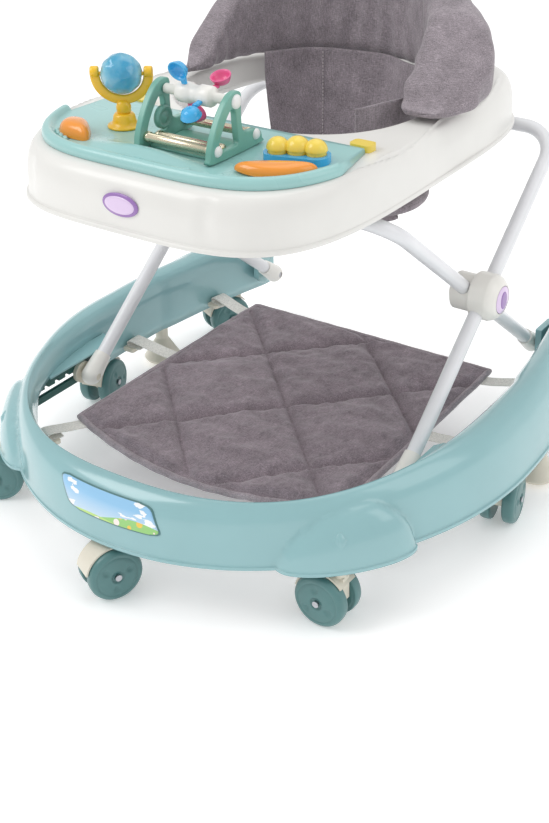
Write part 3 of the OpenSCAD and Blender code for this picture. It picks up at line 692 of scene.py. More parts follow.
def oval(rx, ry, steps=48):
    """Outline of an ellipse in mm."""
    turns = [2 * math.pi * k / steps for k in range(steps)]
    return [(rx * math.cos(a), ry * math.sin(a)) for a in turns]


def dome(name, outline, height, rings=7, roundness=0.5):
    """Crowned lid over an outline in mm: a skirt, then rings that draw in and rise."""
    cx = sum(p[0] for p in outline) / len(outline)
    cy = sum(p[1] for p in outline) / len(outline)
    rows = [[mm(x, y, -0.6) for x, y in outline]]
    for k in range(rings + 1):
        a = k / rings * math.pi / 2
        shrink = math.cos(a) ** roundness if k < rings else 0.02
        z = height * math.sin(a)
        rows.append([mm(cx + (x - cx) * shrink, cy + (y - cy) * shrink, z) for x, y in outline])
    return grid(name, rows, wrap_v=True, cap_rows=True)


def build_badge():
    rim = dome("badge_rim", oval(21, 11.5), 1.6, roundness=0.35)
    face = dome("badge_face", oval(18, 9), 2.2, roundness=0.3)
    for obj, material, out in ((rim, PURPLE, 0.6), (face, LILAC, 0.9)):
        place(obj, (0, TRAY_MID_Y - TRAY_FRONT + 3.2 - out, 402), (90, 0, 0))
        add(obj, "tray", material, replaces=["tray_badge"])


# ---------------------------------------------------------------- toy panel

PANEL_Z, PANEL_FRONT_GAP, PANEL_REAR_Y = 434, 24, -70
PANEL_LIP = [(-0.6, 430), (-0.6, 434), (0.6, 437), (3, 439.2), (6, 439.6), (8.6, 438.4), (10.2, 435.4),
             (11.2, 434.2)]


def panel_edge(deg):
    """Point on the panel's outer edge at an angle, and the direction inwards from it."""
    t = math.radians(deg)
    o = tray_edge(t)
    edge = o - (o - opening_edge(t)).normalized() * PANEL_FRONT_GAP
    return edge, (Vector((0, PANEL_REAR_Y)) - edge).normalized()


def build_panel():
    """Crescent toy panel: rounded outer lip, a groove, and a wave swelling along its front."""
    rows = []
    count = 132
    for k in range(count + 1):
        edge, inward = panel_edge(lerp(-64, 64, k / count))
        row = [mm(edge.x, edge.y, TRAY_TOP_Z + 0.3)]
        for inset, z in PANEL_LIP:
            p = edge + inward * inset
            row.append(mm(p.x, p.y, z))
        start = edge + inward * 12
        end = Vector((start.x * 0.985, PANEL_REAR_Y - 2))
        for j in range(1, 25):
            p = start.lerp(end, j / 24) if start.y < end.y else start
            swell = 8.0 * bump(p.x + 12, 0, 92) * bump((start - p).length, 17, 17)
            row.append(mm(p.x, p.y, PANEL_Z + swell))
        row.append(mm(row[-1].x / MM, PANEL_REAR_Y, TRAY_TOP_Z + 0.3))
        rows.append(row)
    panel = grid("panel_skin", rows, cap_rows=True)
    weld(panel, 2e-5)
    add(panel, "tray", TEAL_TOY, replaces=["toy_panel"])
    for group, (start, stop) in enumerate(((-37, -24), (6, 22))):
        for j in range(4):
            edge, inward = panel_edge(lerp(start, stop, j / 3))
            p = edge + inward * 14.5
            bead = dome(f"panel_bead_{group}_{j}", oval(5.0, 2.6, 20), 2.6, roundness=0.6)
            turn = math.degrees(math.atan2(inward.y, inward.x)) - 90
            place(bead, (p.x, p.y, PANEL_Z + 0.4), (0, 0, turn))
            add(bead, "tray", TEAL_TOY)


def leaf(length, width, pinch=0.0):
    """Boat outline, slimmer towards both ends; pinch > 0 narrows the +X end more, like a drop."""
    pts = []
    for x, y in oval(1, 1, 28):
        slim = (1 - pinch * smooth_step((x + 1) / 2)) * (1 - 0.25 * x * x)
        pts.append((length / 2 * x, width / 2 * y * slim))
    return pts


def build_buttons():
    left = dome("orange_drop", leaf(52, 36, 0.45), 14, roundness=0.62)
    place(left, (-103, -184, 435), (0, 0, -28))
    add(left, "orange_left", ORANGE, replaces=["orange_button_left"])
    long = 76
    right = dome("orange_boat", leaf(long, 27), 10)
    for v in right.data.vertices:
        k = v.co.x / (long / 2 * MM)
        v.co.y -= 5 * MM * (1 - k * k)
        v.co.z += 2.2 * MM * k * k
    place(right, (122, -169, 435), (0, 0, 30))
    add(right, "orange_right", ORANGE, replaces=["orange_button_right"])
    repaint("blue_base", BLUE, 1.2)
    repaint("yellow_buttons", YELLOW_SOFT, 0.6)
    repaint("panel_latches", YELLOW_SOFT, 1.4)


# ---------------------------------------------------------------- toys

BALL = (-79, -141, 488)
FORK_TURN, FORK_R = 32, 26.2


def build_ball_toy():
    bell = lathe("pedestal_bell", [(0, 434.2), (16.5, 434.2), (17.2, 435.2), (16.5, 436.6), (12.5, 437.4),
                                   (11.6, 441), (10.6, 446), (8.8, 448.2), (5, 448.4), (0, 448.4)])
    place(bell, (BALL[0], BALL[1], 0))
    add(bell, "tray", YELLOW, replaces=["ball_pedestal"])
    hub = lathe("fork_hub", [(0, -40), (6.2, -40), (7.2, -38), (7.4, -33), (6, -28.6), (4, -26.8),
                             (0, -26.6)])
    half_arc = [math.radians(a) for a in range(180, 361, 5)]
    arc = [mm(FORK_R * math.cos(a), 0, FORK_R * math.sin(a)) for a in half_arc]
    band = tube_along("fork_band", arc, slab_section(0.0095, 0.0042), up=Vector((0, 1, 0)))
    ends = []
    for side, tag in SIDES:
        boss = lathe(f"fork_boss_{tag}",
                     [(0, -4), (4.6, -4), (5.6, -3), (5.6, 3), (4.8, 4), (2.4, 4.2), (1.8, 3.4), (0, 3.3)])
        ends.append(place(boss, (FORK_R * side, 0, 2), (0, 90 * side, 0)))
        pin = lathe(f"fork_pin_{tag}", [(0, -6), (2, -6), (2, 5), (0, 5)], 20)
        ends.append(place(pin, (20 * side, 0, 0), (0, 90, 0)))
    for obj in [hub, band] + ends:
        rotate(obj, FORK_TURN, "Z")
        place(obj, BALL)
        add(obj, "ball_fork", YELLOW)
    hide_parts("ball_fork")
    bm = bmesh.new()
    bmesh.ops.create_icosphere(bm, subdivisions=2, radius=21.3 * MM)
    for v in bm.verts:
        v.co.y *= 0.92
    mesh = bpy.data.meshes.new("rattle_gem")
    bm.to_mesh(mesh)
    bm.free()
    gem = linked("rattle_gem", mesh)
    soften(gem, 1.6, 3, 5)
    inner = lathe("rattle_core", [(0, -12), (6, -11), (10, -6), (11.4, 0), (10, 6), (6, 11), (0, 12)], 24)
    for obj, material in ((gem, CLEAR_BLUE), (inner, BLUE_DEEP)):
        rotate(obj, FORK_TURN, "Z")
        place(obj, BALL)
        add(obj, "rattle_ball", material)
    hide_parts("rattle_ball")


CAR = (20, -150, 434)
CAR_SIDE = [(-37, 1), (37, 1), (40, 6), (38, 13), (32, 17), (24, 18), (14, 19), (9, 25), (8, 42), (9, 56),
            (5, 61), (-4, 61), (-12, 57), (-22, 47), (-31, 34), (-38, 20), (-41, 8)]
CAR_HOLE = [(-27, 10), (0, 10), (1, 17), (0, 31), (-1, 42), (-6, 46), (-12, 42), (-19, 33), (-25, 23),
            (-28, 14)]
CAR_ROLLERS = [(-30, 12), (30, 12), (-13, 8)]


def framed_plate(name, outline, hole, thick, bevel=1.2):
    """Plate with one window, both outlines smoothed, standing in the YZ plane with its thickness along X."""
    curve = bpy.data.curves.new(name, "CURVE")
    curve.dimensions = "2D"
    curve.fill_mode = "BOTH"
    curve.extrude = (thick / 2 - bevel) * MM
    curve.bevel_depth = bevel * MM
    curve.bevel_resolution = 2
    curve.offset = -bevel * MM
    for corners in (outline, hole):
        loop = finer(corners, 3, closed=True)
        spline = curve.splines.new("POLY")
        spline.points.add(len(loop) - 1)
        spline.use_cyclic_u = True
        for point, (a, b) in zip(spline.points, loop):
            point.co = (a * MM, b * MM, 0, 1)
    holder = linked(name + "_curve", curve)
    bpy.context.view_layer.update()
    mesh = bpy.data.meshes.new_from_object(holder)
    bpy.data.objects.remove(holder)
    obj = linked(name, mesh)
    mesh.transform(Matrix(((0, 0, 1, 0), (1, 0, 0, 0), (0, 1, 0, 0), (0, 0, 0, 1))))
    shade_smooth(obj)
    return obj


def x_lathe(name, profile, at=(0, 0, 0)):
    """Revolved solid about the X direction; profile is (radius, x)."""
    obj = lathe(name, profile, 32)
    rotate(obj, 90, "Y")
    return place(obj, at)


def both_ways(half):
    """Whole profile of a solid whose two ends match, from the half that runs out to one end."""
    return [(r, -x) for r, x in reversed(half)] + half


def end_cap(name, profile, side, at, body):
    """White cap on the end of a rod, facing outwards on its side."""
    cap = x_lathe(name, profile)
    if side < 0:
        flip_x(cap)
    place(cap, at)
    add(cap, body, PAINT_WHITE)


def build_car():
    x0, y0, z0 = CAR
    for side, tag in SIDES:
        frame_side = framed_plate(f"car_side_{tag}", CAR_SIDE, CAR_HOLE, 7)
        place(frame_side, (x0 + 42 * side, y0, z0))
        add(frame_side, "tray", TEAL_CAR, replaces=["car_frame"])
        for k, (y, z) in enumerate(CAR_ROLLERS[:2]):
            end_cap(f"car_cap_{tag}_{k}", [(0, 0), (5.4, 0), (5.4, 1.5), (4, 3.2), (0, 3.8)], side,
                    (x0 + 44.4 * side, y0 + y, z0 + z), "tray")
    knob = x_lathe("car_knob", [(0, 0), (10.5, 0), (11.6, 1), (11.6, 5), (10, 6.4), (8.2, 6.4), (7.6, 5.2),
                                (5, 5.2), (4.4, 6.2), (0, 6.6)], (x0 - 40, y0 - 6, z0 + 25))
    add(knob, "tray", TEAL_CAR)
    for k, (y, z) in enumerate(CAR_ROLLERS):
        half = [(4.4, 33), (5.2, 34), (5.2, 38), (4.6, 39), (0, 39)]
        roller = x_lathe(f"car_roller_{k}", both_ways(half), (x0, y0 + y, z0 + z))
        add(roller, "tray", GOLD_ROD, replaces=["car_rods"] if k == 0 else [])
    deck = plate("car_deck", [(-38, -27), (38, -27), (38, 27), (-38, 27)], 3, 1.0)
    place(deck, (x0, y0, z0 + 0.2))
    add(deck, "tray", TEAL_CAR)


SPOON_CUP = [(0, -4.2), (4, -4.0), (7.6, -2), (9.2, 1.2), (9.8, 4), (10.4, 4.4), (10.2, 5.2), (9.2, 5.2),
             (8.4, 2), (6.6, -0.8), (3.6, -2.4), (0, -2.8)]


def build_spinner():
    x0, y0, z0 = CAR[0], CAR[1], 486
    half = [(8.6, 4), (10.2, 6), (10.2, 18), (9, 20), (5, 22), (5, 36), (4.5, 37), (0, 37)]
    drum = x_lathe("spinner_barrel", both_ways(half), (x0, y0, z0))
    add(drum, "spinner", IVORY, replaces=["spinner_drum"])
    for side, tag in SIDES:
        end_cap(f"spinner_cap_{tag}", [(0, 0), (6.5, 0), (7, 1), (6.6, 2.6), (4.5, 3.8), (0, 4.2)], side,
                (x0 + 44.6 * side, y0, z0), "spinner")
    colours = (BLUE, BLUE, PINK, PINK)
    for k, (x, turn) in enumerate(((-11, 20), (11, 110), (-11, 200), (11, 290))):
        cup = lathe(f"spoon_cup_{k}", SPOON_CUP, 32)
        place(cup, (x, 0, 26.5), (90, 0, 0))
        stalk = tube_along(f"spoon_stalk_{k}", [mm(x, 0, 8.5), mm(x, 0, 12), mm(x, 0.6, 15), mm(x, 1.4, 18)],
                           slab_section(0.0062, 0.0034), up=Vector((0, 1, 0)))
        for obj in (cup, stalk):
            rotate(obj, turn, "X")
            place(obj, (x0, y0, z0))
            add(obj, "spinner", colours[k])
        if k == 0:
            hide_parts("spinner_spoons")


build_tray()
build_badge()
build_panel()
build_buttons()
build_ball_toy()
build_car()
build_spinner()


# ---------------------------------------------------------------- folding frame, hubs, casters

WHEEL_R, TRAIL, DISC_IN, DISC_OUT, DIMPLE_R = 28, 14, 6.5, 21.5, 14.5


def wheel_disc(name):
    """One twin-wheel disc about local Z, outer face up, with a recessed ring and moulded dimples."""
    inner = [(2.5, 0), (24, 0), (25, 1), (26.6, 0.2), (27.6, 1.2), (28, 3)]
    outer = [(28, 6.5), (27.2, 4), (25.6, 2.4), (23.5, 1.6), (22.4, 1.4), (21.6, 2.0), (20.8, 1.4), (18, 0.6),
             (12, 0.1), (8, 0), (6.6, 0.2), (6.0, 1.6), (2.5, 1.6)]
    profile = [(r, DISC_IN + d) for r, d in inner] + [(r, DISC_OUT - d) for r, d in outer] + [(2.5, DISC_IN)]
    steps = 72
    rows = []
    fine = []
    for a, b in zip(profile, profile[1:]):
        parts = max(1, int(math.hypot(b[0] - a[0], b[1] - a[1]) / 1.6))
        fine += [(lerp(a[0], b[0], k / parts), lerp(a[1], b[1], k / parts)) for k in range(parts)]
    for i in range(steps):
        ang = 2 * math.pi * i / steps
        row = []
        for r, z in fine:
            if z > DISC_OUT - 3 and 8 < r < 21:
                for k in range(3):
                    centre = 2 * math.pi * k / 3 + 0.4
                    d = math.hypot(r * math.cos(ang) - DIMPLE_R * math.cos(centre),
                                   r * math.sin(ang) - DIMPLE_R * math.sin(centre))
                    z -= 1.5 * (1 - smooth_step((d - 2.6) / 1.6))
                arc = (ang - 0.9) % (2 * math.pi)
                if 0.3 < arc < 1.7:
                    z -= 0.8 * math.exp(-((r - 17.6) / 0.9) ** 2)
            row.append(mm(r * math.cos(ang), r * math.sin(ang), z))
        rows.append(row)
    return grid(name, rows, wrap_u=True, wrap_v=True)


def build_casters():
    for tag, (x, y, heading) in CASTERS.items():
        swivel = Matrix.Rotation(math.radians(heading), 4, "Z")
        at = Matrix.Translation(mm(x, y, 0)) @ swivel @ Matrix.Translation(mm(TRAIL, 0, WHEEL_R))
        random.seed(len(tag) + heading)
        for side in (1, -1):
            disc = wheel_disc(f"wheel_{tag}_{'a' if side > 0 else 'b'}")
            rolled = Matrix.Rotation(random.uniform(0, 2 * math.pi), 4, "Z")
            disc.data.transform(at @ Matrix.Rotation(math.radians(-90 * side), 4, "X") @ rolled)
            add(disc, f"wheels_{tag}", WHEEL)
            if side > 0:
                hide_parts(f"caster_{tag}_wheels")
        repaint(f"caster_{tag}_axle", STEEL, 0.4)
        repaint(f"caster_{tag}_fork", CREAM, 0.7)


def build_frame():
    for name in ("rear_leg_tube", "front_leg_tube"):
        repaint(name, TUBE_WHITE)
        shade_smooth(NODES[name])
    for names, material, edge in (
            (("rear_tube_ends", "front_tube_ends", "hub_inner_covers"), IVORY, 0.9),
            (("hub_outer_covers",), IVORY, 0.6),
            (("hub_caps",), LILAC, 0.5),
            (("hub_pins", "rear_pivot_pins"), STEEL, 0.4),
            (("tray_brackets",), IVORY, 0.8),
            (("slide_rail_left", "slide_rail_right"), DARK_TEAL, 0.5),
            (("rear_brackets",), TEAL, 1.2),
            (("slider_left", "slider_right"), CREAM, 0.6),
            (("brake_post_left", "brake_post_right"), CREAM, 1.2),
            (("strap_clips",), CREAM, 0.8)):
        for name in names:
            repaint(name, material, edge)


def hub_trim():
    """Raised purple oval inside each hub cap's pale rim."""
    lo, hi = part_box("hub_caps")
    y, z = (lo.y + hi.y) / 2 / MM, (lo.z + hi.z) / 2 / MM
    for side, tag in SIDES:
        face = dome(f"hub_oval_{tag}", oval(7.2, 10), 1.0, roundness=0.3)
        rotate(face, 90, "Z")
        rotate(face, 90, "Y")
        place(face, (232.4, y, z))
        if side < 0:
            flip_x(face)
        add(face, "front_leg", PURPLE)


# ---------------------------------------------------------------- printed label

def label_material():
    """Generic printed scene: sky, two hills, clouds and flowers."""
    n = Nodes("printed_scene")
    split = n.node("ShaderNodeSeparateXYZ")
    n.link(n.coord, split.inputs[0])
    x, z = split.outputs["X"], split.outputs["Z"]
    sky = n.ramp(n.math("ADD", n.math("MULTIPLY", z, 22.0), -1.6),
                 [(0.2, srgb(222, 232, 240)), (0.8, srgb(150, 200, 236))])
    cloud = n.math("GREATER_THAN", n.noise(70, 3, 0.5, stretch=(0.6, 1.0, 1.6)), 0.58)

    def below_wave(level, pitch, phase, height):
        wave = n.math("SINE", n.math("ADD", n.math("MULTIPLY", x, pitch), phase))
        return n.math("LESS_THAN", z, n.math("ADD", level, n.math("MULTIPLY", wave, height)))

    hill = below_wave(0.094, 46.0, 0.0, 0.006)
    near = below_wave(0.089, 38.0, 2.2, 0.004)
    flowers = n.node("ShaderNodeTexVoronoi", feature="F1")
    flowers.inputs["Scale"].default_value = 85
    n.link(n.coord, flowers.inputs["Vector"])
    petal = n.math("MULTIPLY", n.math("LESS_THAN", flowers.outputs["Distance"], 0.3), hill)

    def mix(factor, a, b):
        m = n.node("ShaderNodeMix", data_type="RGBA")
        n.link(factor, m.inputs[0])
        for socket, value in ((m.inputs[6], a), (m.inputs[7], b)):
            if isinstance(value, tuple):
                socket.default_value = value
            else:
                n.link(value, socket)
        return m.outputs[2]

    colour = mix(cloud, sky, srgb(246, 248, 250))
    colour = mix(hill, colour, srgb(150, 206, 120))
    colour = mix(near, colour, srgb(186, 222, 128))
    tint = n.ramp(flowers.outputs["Color"],
                  [(0.3, srgb(240, 130, 150)), (0.5, srgb(250, 240, 240)), (0.7, srgb(240, 200, 80))])
    colour = mix(petal, colour, tint)
    n.put(Base_Color=colour, Roughness=0.25, Coat_Weight=0.5)
    return n.mat


def skin_point(deg, share, lift):
    """Point lifted off the ring's outer skin at an angle and a height share."""
    t = math.radians(deg)
    o, i = rim_outer(t), rim_inner(t)
    n = (o - i).normalized()
    inset = OUTER_SKIN[-1][0]
    for (a, low), (b, high) in zip(OUTER_LINE, OUTER_LINE[1:]):
        if low <= share <= high:
            inset = lerp(a, b, (share - low) / max(1e-6, high - low))
            break
    lean = smooth_step((share - 0.4) / 0.6)
    xy = o - n * (inset * min(1, (o - i).length / FULL_WIDTH) - lift * (1 - 0.5 * lean))
    return mm(xy.x, xy.y, RIM_Z + (ring_top(deg) - RIM_Z) * share + lift * lean)


def label_patch(name, grow, lift, material):
    """Leaning rounded rectangle laid on the ring's front."""
    rows = []
    for k in range(15):
        v = math.sin(math.radians(lerp(-90, 90, k / 14)))
        half = (10.6 + grow * 0.25) * (1 - abs(v) ** 7) ** (1 / 7) if abs(v) < 1 else 8.2
        lean = -1.7 * v
        rows.append([skin_point(lean + half * lerp(-1, 1, j / 40), 0.62 + (0.2 + grow * 0.018) * v, lift)
                     for j in range(41)])
    patch = grid(name, rows)
    thicken(patch, 0.5)
    return add(patch, "base", material)


def build_label():
    # The dark band round the print is painted shade: a raised sheet in the dark wheel colour stands in for
    # the shade inside the label's recess.
    recess_shade = label_patch("label_recess_painted_shade", 1.2, 0.5, WHEEL)
    label_patch("label_print", 0, 1.1, label_material())
    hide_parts("front_label")


# ---------------------------------------------------------------- cloth and padding

def stitches(name, path, body, pitch=4.2, length=2.6, radius=0.7):
    """Short thread stitches laid along a path of points and their normals."""
    faces, verts = [], []
    travelled, next_at = 0.0, 0.0
    for (a, na), (b, nb) in zip(path, path[1:]):
        step = (b - a).length / MM
        while step > 0 and next_at <= travelled + step:
            k = (next_at - travelled) / step
            p, normal = a.lerp(b, k), na.lerp(nb, k).normalized()
            along = (b - a).normalized()
            side = along.cross(normal).normalized()
            base = len(verts)
            for f, lift in ((-0.5, -0.15), (-0.25, 0.5), (0.25, 0.5), (0.5, -0.15)):
                c = p + along * (f * length * MM) + normal * (lift * radius * MM)
                for s, u in ((-1, 0), (0, 1), (1, 0), (0, -1)):
                    verts.append(c + side * (s * radius * MM) + normal * (u * radius * MM * 0.7))
            for q in range(3):
                for s in range(4):
                    faces.append((base + q * 4 + s, base + q * 4 + (s + 1) % 4,
                                  base + q * 4 + 4 + (s + 1) % 4, base + q * 4 + 4 + s))
            next_at += pitch
        travelled += step
    add(new_mesh(name, verts, faces), body, THREAD)


MAT_HALF_W, MAT_FRONT, MAT_REAR, MAT_Z = 176, -182, 196, 74


def mat_front_at(x):
    return MAT_FRONT + 40 * (abs(x) / (MAT_HALF_W * 1.045)) ** 2


def quilt_lines(x, y):
    """Distance in mm to the nearest diamond seam."""
    best = 1e9
    for across, start, pitch in ((x + y, 8, 177), (x - y, 18, 188)):
        d = (across - start + pitch / 2) % pitch - pitch / 2
        best = min(best, abs(d) / math.sqrt(2))
    return best


def mat_height(x, y):
    seam = quilt_lines(x, y)
    edge = min(MAT_HALF_W - abs(x), y - mat_front_at(x), MAT_REAR - y)
    puff = (1 - math.exp(-(seam / 6) ** 2)) * (0.6 + 0.4 * smooth_step(seam / 45))
    puff = (puff - 0.25 * math.exp(-(seam / 1.8) ** 2)) * smooth_step((edge - 3) / 14)
    pucker = math.exp(-((seam - 8) / 7) ** 2) * math.sin((x + y) / 4.5 + 4 * fnoise(x, y, 2, 0.03))
    wrinkle = 3.0 * fnoise(x, y * 1.6, 3.0, 0.025) + 1.6 * fnoise(x * 1.3, y, 9.0, 0.08) + 0.7 * pucker
    front_sag = -5.0 * bump(x, 0, 190) * smooth_step((-60 - y) / 130)
    gather = 1.2 * math.sin(x / 5.5 + 2 * fnoise(x, y, 5, 0.02)) * bump(edge, 10, 12)
    gather *= 1 if y < -60 else 0.4
    return 8.5 * puff + wrinkle * smooth_step(edge / 20) + front_sag + gather


def build_mat():
    nx, ny = 176, 190
    rows_top, rows_low = [], []
    for i in range(ny + 1):
        v = i / ny
        top, low = [], []
        for j in range(nx + 1):
            u = lerp(-1, 1, j / nx)
            x = u * (MAT_HALF_W - 4 * v * v) * 0.985
            y = lerp(mat_front_at(x) + 3, MAT_REAR - 3, v)
            h = mat_height(x, y)
            top.append(mm(x, y, MAT_Z + 2.2 + h))
            low.append(mm(x, y, MAT_Z + 0.2 + min(0.0, h * 0.7)))
        rows_top.append(top)
        rows_low.append(low[::-1])
    rows = [a + b for a, b in zip(rows_top, rows_low)]
    mat = grid("quilted_mat", rows, wrap_v=True)
    bm = bmesh.new()
    bm.from_mesh(mat.data)
    bm.verts.ensure_lookup_table()
    width = nx + 1
    total = 2 * width
    for base in (0, ny * total):
        for j in range(nx):
            a, b = base + j, base + j + 1
            c, d = base + total - 2 - j, base + total - 1 - j
            bm.faces.new((bm.verts[a], bm.verts[b], bm.verts[c], bm.verts[d]))
    bmesh.ops.recalc_face_normals(bm, faces=bm.faces)
    for f in bm.faces:
        f.smooth = True
    bm.to_mesh(mat.data)
    bm.free()
    add(mat, "base", MAT_CLOTH, replaces=["foot_mat"])
    edge = rows_top[0] + [row[-1] for row in rows_top[1:]]
    edge += rows_top[-1][-2::-1] + [row[0] for row in rows_top[-2:0:-1]]
    path = [p - Vector((0, 0, 1.2 * MM)) for p in edge[::3]]
    section = [(x * MM, y * MM) for x, y in oval(3.7, 3.7, 10)]
    rim = tube_along("mat_binding", path, section, closed=True)
    add(rim, "base", BINDING)


# Webbing's width and thickness, in metres.
STRAP_WIDTH, STRAP_THICK = 0.019, 0.0015


# Each tie on the right, in mm: where it leaves the mat and where its clip is. Side, rear, front.
TIES = [(MAT_HALF_W - 14, 30, 244, 30), (MAT_HALF_W - 16, 170, 228.5, 184),
        (MAT_HALF_W - 20, MAT_FRONT + 48, 179, -196.2)]


def build_straps():
    """Six webbing ties: from under the mat's edge over the clip, folded back on themselves."""
    for k, (x0, y0, x1, y1) in enumerate(TIES):
        along = Vector((x1 - x0, y1 - y0, 0))
        long = along.length
        along.normalize()
        start = Vector((x0, y0, 0))

        def at(share, z):
            p = start + along * share
            return mm(p.x, p.y, z)

        path = [at(0, 73), at(long * 0.3, 73.4), at(long * 0.6, 76.5), at(long - 10, 79.5),
                at(long - 3, 79.6), at(long - 0.5, 76), at(long - 3, 72.6), at(long - 12, 71.8),
                at(long - 20, 72.4)]
        section = slab_section(STRAP_WIDTH, STRAP_THICK)
        first = add(tube_along(f"mat_strap_right_{k}", catmull(path, 6), section), "base", WEBBING)
        twin = add(mirrored(first, f"mat_strap_left_{k}"), "base", WEBBING)
        if k == 0:
            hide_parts("mat_straps")


BACK_IN, BACK_OUT, BACK_LOW, BACK_TOP, BACK_REACH = 122, 158, 431, 566, 108
WING_SWELL_RIGHT, WING_DRAW_LEFT = 38, 11


def back_section(turn):
    """Pad at an angle round the seat (0 = rear, +-90 = sides): its top, thickness and middle radius in mm."""
    side = abs(turn) / 90
    top = lerp(BACK_TOP, 520, smooth_step((side - 0.25) / 0.5))
    top = lerp(top, 454, smooth_step((side - 0.72) / 0.46))
    thick = lerp(BACK_OUT - BACK_IN, 44, bump(side, 1.0, 0.6))
    mid = (BACK_OUT + BACK_IN) / 2 + 4 * bump(side, 1.0, 0.5)
    return top, thick, mid


def build_backrest():
    """Thick padded horseshoe on the tray: rolled top and wings, gathered at the lower seam."""
    rows = []
    count, steps = 120, 44
    for i in range(count + 1):
        turn = lerp(-BACK_REACH, BACK_REACH, i / count)
        top, thick, mid = back_section(turn)
        end = smooth_step((BACK_REACH - abs(turn)) / 14)
        half = thick / 2 * (0.25 + 0.75 * math.sqrt(max(0.0, end)))
        height = top - BACK_LOW
        swell = WING_SWELL_RIGHT * bump(turn, 90, 66) - WING_DRAW_LEFT * bump(turn, -90, 80)
        a = math.radians(turn)
        row = []
        for c, h in oval(1, 1, steps):
            r = mid + half * spow(c, 0.62) * (1.0 + 0.10 * h) + swell * max(0.0, c) ** 0.7
            rise = (0.5 + 0.5 * spow(h, 0.55)) * (0.35 + 0.65 * end if h > 0 else 1)
            z = BACK_LOW + 3 + (height - 3) * rise
            px, py = r * math.sin(a), SEAT_Y + r * math.cos(a)
            if abs(turn) > 90:
                px, py = math.copysign(r, turn), SEAT_Y - math.radians(abs(turn) - 90) * mid
            fold = fnoise(turn * 0.9, z * 0.10, 1.7 + (c > 0), 0.16)
            fan = math.sin(turn * 0.55 + 6 * fnoise(turn, z * 0.3, 6, 0.03))
            fan *= math.exp(-(z - BACK_LOW) / 60)
            crease = 3.6 * fold * (1 - 0.4 * abs(h)) + 2.6 * fan * max(0.0, -c)
            gather = 1.6 * math.sin(turn * 1.9 + 3 * fnoise(turn, 0, 4, 0.05)) * max(0.0, -h) ** 2
            nx, ny = math.sin(a) * c, math.cos(a) * c
            out = crease + gather
            row.append(mm(px + nx * out, py + ny * out, z + crease * h * 0.6))
        rows.append(row)
    back = grid("seat_backrest", rows, wrap_v=True, cap_rows=True)
    smoother = back.modifiers.new("subdivide", "SUBSURF")
    smoother.levels = smoother.render_levels = 1
    add(back, "tray", FABRIC, replaces=["seat_back"])


# The seat's cloth: floor, top seam under the pad, the shorter right side and its bulge under the tray.
FLOOR_Z, FLOOR_R, LINING_TOP_Z, LINING_TOP_R, LINING_RIGHT_Z = 276, 92, 441, 119, 320
LINING_FROM, LINING_TO, BULGE, BULGE_TURN, BULGE_Z = -62, 126, 68, 112, 344


def lining_point(turn, depth):
    """Point on the lining and its inward direction: depth 0 at the pad's lower seam, 1 at the lower edge."""
    low = lerp(FLOOR_Z, LINING_RIGHT_Z, smooth_step((turn - 52) / 26))
    z = lerp(LINING_TOP_Z, low, depth)
    r = lerp(FLOOR_R, LINING_TOP_R, smooth_step((z - FLOOR_Z) / 155) ** 0.8)
    a = math.radians(turn)
    ripple = 2.0 * math.sin(turn * 0.16 + 2.5 * fnoise(turn, z * 0.4, 2, 0.02)) * smooth_step((500 - z) / 60)
    bulge = BULGE * bump(turn, BULGE_TURN, 46) * bump(z, BULGE_Z, 32)
    r += ripple + 1.6 * fnoise(turn, z, 7, 0.03) - 1.0 + bulge
    return mm(r * math.sin(a), SEAT_Y + r * math.cos(a), z), Vector((-math.sin(a), -math.cos(a), 0))


def build_lining():
    turns = [lerp(LINING_FROM, LINING_TO, j / 104) for j in range(105)]
    rows = [[lining_point(turn, i / 60)[0] for turn in turns] for i in range(61)]
    lining = grid("seat_lining", rows)
    thicken(lining, 2.2)
    add(lining, "tray", FABRIC, replaces=["seat_bag"])
    for k, turn in enumerate((-28, 58)):
        path = [lining_point(turn, d / 60) for d in range(2, 58)]
        stitches(f"lining_stitches_{k}", [(p + n * 1.8 * MM, n) for p, n in path], "tray")


def build_crotch_strip():
    """Hourglass floor of the seat that climbs to the front of the opening."""
    rows = []
    for i in range(41):
        v = i / 40
        y = lerp(SEAT_Y + 88, SEAT_Y - 132, v)
        half = lerp(92, 40, smooth_step(v / 0.45)) if v < 0.45 else lerp(40, 58, smooth_step((v - 0.6) / 0.4))
        if v < 0.3:
            half = min(half, math.sqrt(max(1.0, 94 ** 2 - (y - SEAT_Y) ** 2)))
        z = FLOOR_Z - 4 * math.sin(math.pi * v) + 140 * smooth_step((v - 0.55) / 0.42)
        across = [lerp(-1, 1, j / 32) for j in range(33)]
        rows.append([mm(u * half, y, z + 1.5 * fnoise(u * 60, y, 11, 0.04)) for u in across])
    floor_piece = grid("seat_crotch_strip", rows)
    thicken(floor_piece, 2.4)
    add(floor_piece, "tray", FABRIC)


build_casters()
build_frame()
hub_trim()
build_label()
build_mat()
build_straps()
build_backrest()
build_lining()
build_crotch_strip()


# ---------------------------------------------------------------- floor, light, camera

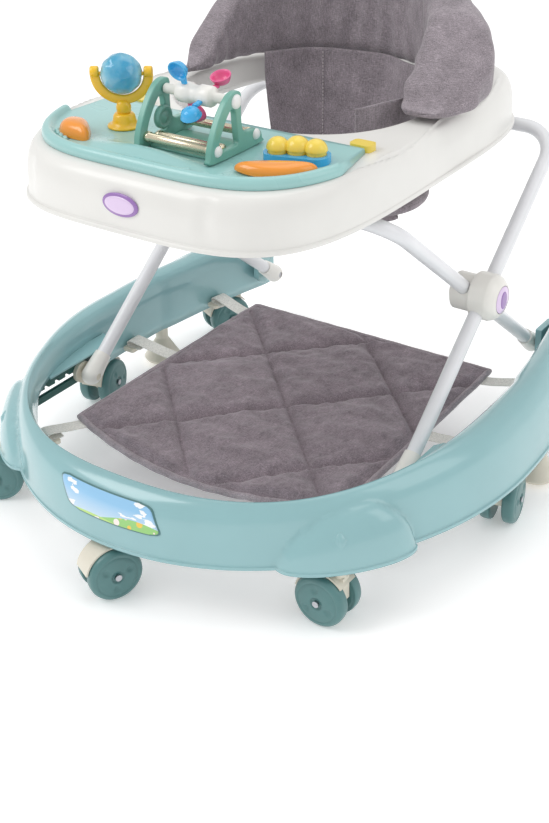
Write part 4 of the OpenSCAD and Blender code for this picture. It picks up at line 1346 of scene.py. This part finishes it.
def build_stage():
    floor_mat = bpy.data.materials.new("studio_floor")
    floor_mat.use_nodes = True
    shader = floor_mat.node_tree.nodes["Principled BSDF"]
    shader.inputs["Base Color"].default_value = (0.95, 0.95, 0.95, 1)
    shader.inputs["Roughness"].default_value = 0.7
    shader.inputs["Emission Color"].default_value = (1, 1, 1, 1)
    shader.inputs["Emission Strength"].default_value = 0.25
    rows = []
    for i in range(25):
        d = lerp(-4, 6, i / 24)
        rise = 0.0 if d < 3 else 3.0 * smooth_step((d - 3) / 3)
        rows.append([Vector((x * 0.8 - 6, d, rise)) for x in range(16)])
    floor_obj = grid("studio_floor", rows)
    floor_obj.data.materials.append(floor_mat)

    bpy.context.scene.view_settings.view_transform = "Standard"
    world = bpy.data.worlds.new("studio")
    bpy.context.scene.world = world
    world.use_nodes = True
    background = world.node_tree.nodes["Background"]
    background.inputs["Color"].default_value = (1, 1, 1, 1)
    background.inputs["Strength"].default_value = 0.72

    def area(name, at, aim, size, power):
        light = bpy.data.lights.new(name, "AREA")
        light.shape = "RECTANGLE"
        light.size, light.size_y = size
        light.energy = power
        holder = linked(name, light)
        holder.location = at
        holder.rotation_euler = (Vector(aim) - Vector(at)).to_track_quat("-Z", "Y").to_euler()

    area("key_softbox", (-1.4, -1.5, 2.2), (0, 0, 0.3), (1.4, 1.4), 22)
    area("side_softbox", (2.0, 0.3, 1.6), (0, 0, 0.3), (1.2, 1.6), 7)
    area("top_softbox", (0.0, 0.6, 2.6), (0, 0, 0.2), (2.0, 2.0), 12)


# Seen from the front, turned round to the right and up, in degrees; distance and aim in metres.
CAMERA_TURN, CAMERA_LIFT, CAMERA_DISTANCE = 31.735, 23.767, 1.69046
CAMERA_AIM, CAMERA_LENS, CAMERA_SHIFT = (0, 0.168, 0.2), 61.62, (-0.1005, -0.1931)


def build_camera():
    turn, lift = math.radians(CAMERA_TURN), math.radians(CAMERA_LIFT)
    aim = Vector(CAMERA_AIM)
    away = Vector((math.sin(turn) * math.cos(lift), -math.cos(turn) * math.cos(lift), math.sin(lift)))
    data = bpy.data.cameras.new("photo_camera")
    data.lens = CAMERA_LENS
    data.sensor_width = 36
    data.shift_x, data.shift_y = CAMERA_SHIFT
    data.dof.use_dof = False
    camera = linked("photo_camera", data)
    camera.location = aim + away * CAMERA_DISTANCE
    camera.rotation_euler = (-away).to_track_quat("-Z", "Y").to_euler()
    bpy.context.scene.camera = camera


build_stage()
build_camera()
